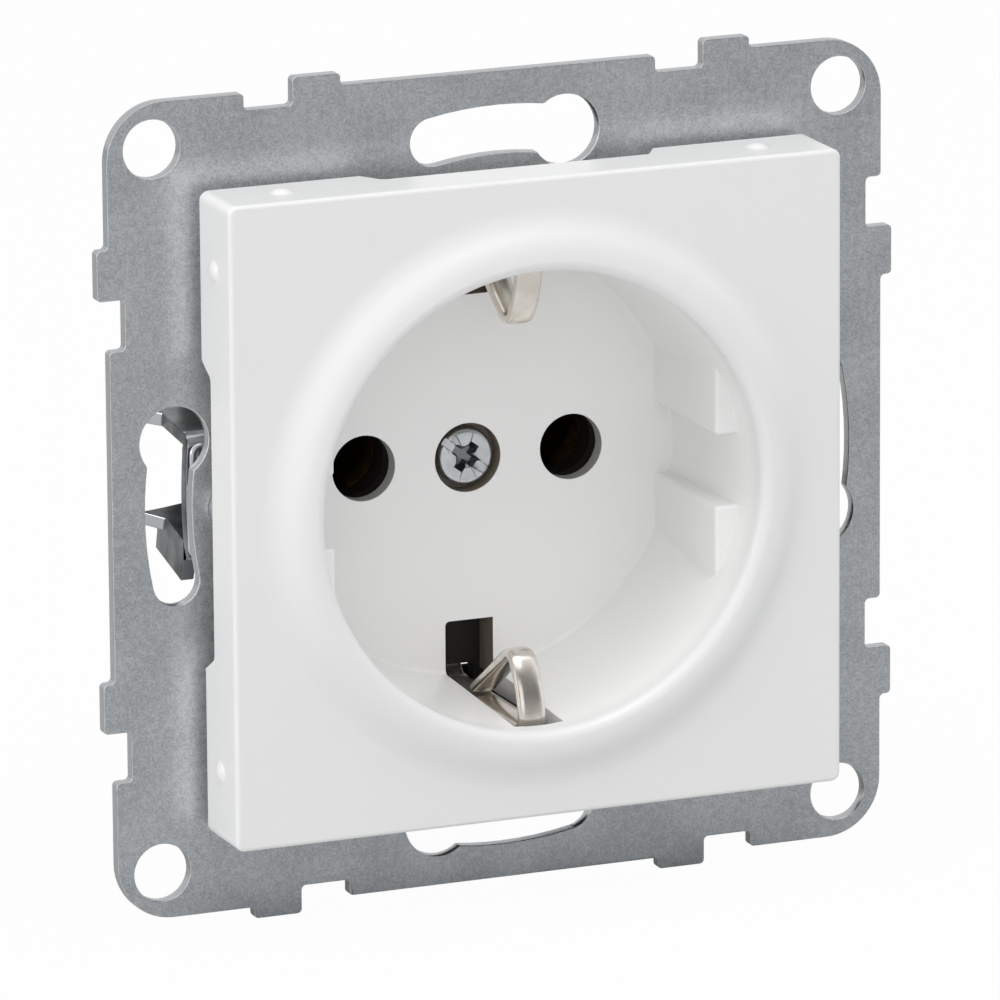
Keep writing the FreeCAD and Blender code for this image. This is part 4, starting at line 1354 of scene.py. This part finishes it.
@dataclass(frozen=True)
class Sky:
    """The studio round the object: an even tent of light, with a dark wall behind the camera."""

    even: float = 0.63
    sides: float = 0.95
    overhead: float = 1.25
    front_low: float = 0.52
    front_high: float = 0.10
    front_span: Span = (0.30, 0.78)
    wall_span: Span = (-0.05, 0.35)
    roof_span: Span = (0.55, 0.9)
    tint: Colour = (0.985, 0.993, 1.0)

    def build(self) -> bpy.types.World:
        """Builds the world.

        Returns:
            The world: white to the camera, even to matt surfaces, shaped for shiny ones.
        """
        paint = Paint(bpy.data.worlds.new("Studio"))
        rays = paint.add("ShaderNodeLightPath").outputs
        direction = paint.add("ShaderNodeTexCoord").outputs["Generated"]
        towards = paint.add("ShaderNodeSeparateXYZ", {}, {0: direction}).outputs
        depth, height = Value(paint, towards[1]), Value(paint, towards[2])
        front = (0.0 - depth).step(*self.front_span)
        wall = self.front_low + height.step(*self.wall_span) * (self.front_high - self.front_low)
        roof = self.sides + height.step(*self.roof_span) * (self.overhead - self.sides)
        shaped = roof + front * (wall - roof)
        glossy = Value(paint, rays["Is Glossy Ray"])
        seen = Value(paint, rays["Is Camera Ray"]).highest(Value(paint, rays["Is Transmission Ray"]))
        strength = self.even + glossy * (shaped - self.even)
        light = paint.add("ShaderNodeBackground", {}, {"Color": opaque(self.tint), "Strength": strength})
        white = paint.add("ShaderNodeBackground", {}, {"Color": opaque(WHITE), "Strength": 1.0})
        both = paint.add("ShaderNodeMixShader", {}, {0: seen, 1: light.outputs[0], 2: white.outputs[0]})
        paint.add("ShaderNodeOutputWorld", {}, {"Surface": both.outputs[0]})
        return paint.owner


@dataclass(frozen=True)
class Softbox:
    """One square soft lamp that faces the object."""

    name: str
    place: Tuple[float, float, float]
    power: float
    side: float = 0.7

    def build(self) -> None:
        """Adds the lamp to the scene."""
        data = bpy.data.lights.new(self.name, "AREA")
        data.shape = "SQUARE"
        data.size = self.side
        data.energy = self.power
        lamp = bpy.data.objects.new(self.name, data)
        bpy.context.scene.collection.objects.link(lamp)
        turn = (-Vector(self.place)).to_track_quat("-Z", "Y").to_matrix().to_4x4()
        lamp.matrix_world = Matrix.Translation(self.place) @ turn


@dataclass
class Studio:
    """Camera, floor, world and lamps."""

    azimuth: float = 22.401
    elevation: float = 14.229
    roll: float = -0.406
    distance: float = 0.87638
    focal_share: float = 10.392
    aim: Tuple[float, float, float] = (0.287 * MM, 0.0, -2.266 * MM)
    sensor: float = 36.0
    clip_end: float = 50.0
    floor_glow: float = 0.97
    floor_size: float = 8.0
    floor_gap: float = 0.2 * MM
    floor_patch: float = 0.3
    floor_tones: Tuple[Colour, Colour] = ((0.70, 0.70, 0.70), (0.68, 0.68, 0.685))
    floor_roughness: float = 0.9
    lamps: Tuple[Softbox, ...] = (
        Softbox("Softbox above", (-0.05, -0.36, 1.0), 4.6),
        Softbox("Softbox left", (-1.2, -0.02, 0.2), 4.9),
        Softbox("Softbox in front", (-0.4, -1.1, 0.4), 1.4))

    def build(self) -> None:
        """Sets up the whole studio."""
        self._camera()
        bpy.context.scene.world = Sky().build()
        self._floor()
        for lamp in self.lamps:
            lamp.build()
        bpy.context.scene.view_settings.view_transform = "Standard"

    def _camera(self) -> None:
        """Places the camera as the photograph's was."""
        turn, rise, tilt = (math.radians(angle) for angle in (self.azimuth, self.elevation, self.roll))
        ahead = Vector((math.sin(turn) * math.cos(rise), math.cos(turn) * math.cos(rise), -math.sin(rise)))
        right = Vector((math.cos(turn), -math.sin(turn), 0.0))
        up = right.cross(ahead)
        across = right * math.cos(tilt) + up * math.sin(tilt)
        over = up * math.cos(tilt) - right * math.sin(tilt)
        data = bpy.data.cameras.new("Camera")
        data.sensor_width = self.sensor
        data.lens = self.focal_share * self.sensor
        data.clip_end = self.clip_end
        camera = bpy.data.objects.new("Camera", data)
        bpy.context.scene.collection.objects.link(camera)
        frame = Matrix((across, over, -ahead)).transposed().to_4x4()
        camera.matrix_world = Matrix.Translation(Vector(self.aim) - ahead * self.distance) @ frame
        bpy.context.scene.camera = camera

    def _floor(self) -> None:
        """Lays a plain pale floor that keeps a faint shadow."""
        level = min(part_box(node)[0].z for node in ("support_frame", "front_cover"))
        Bench.clear()
        bpy.ops.mesh.primitive_plane_add(size=self.floor_size, location=(0, 0, level - self.floor_gap))
        floor = Bench.fresh()
        floor.name = "floor"
        paint = Paint(bpy.data.materials.new("Pale floor"))
        seen = paint.value("ShaderNodeLightPath", output="Is Camera Ray")
        tone = paint.mix(paint.noise(self.floor_patch), *self.floor_tones)
        matt = paint.add("ShaderNodeBsdfPrincipled", {}, {
            "Base Color": tone, "Roughness": self.floor_roughness})
        glow = paint.add("ShaderNodeEmission", {}, {"Color": opaque(WHITE), "Strength": 1.0})
        both = paint.add("ShaderNodeMixShader", {}, {
            0: seen * self.floor_glow, 1: matt.outputs[0], 2: glow.outputs[0]})
        paint.add("ShaderNodeOutputMaterial", {}, {"Surface": both.outputs[0]})
        floor.data.materials.append(paint.owner)


def main() -> None:
    """Builds the whole scene in order."""
    logging.basicConfig(level=logging.INFO, format="%(name)s: %(message)s")
    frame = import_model()
    part = Part(frame["nodes"], Palette())
    Cover(part).build()
    Sheet(part).build()
    Strip(part).build()
    Screws(part).build()
    Claws(part).build()
    Works(part).build()
    Studio().build()


if __name__ == "__main__":
    main()
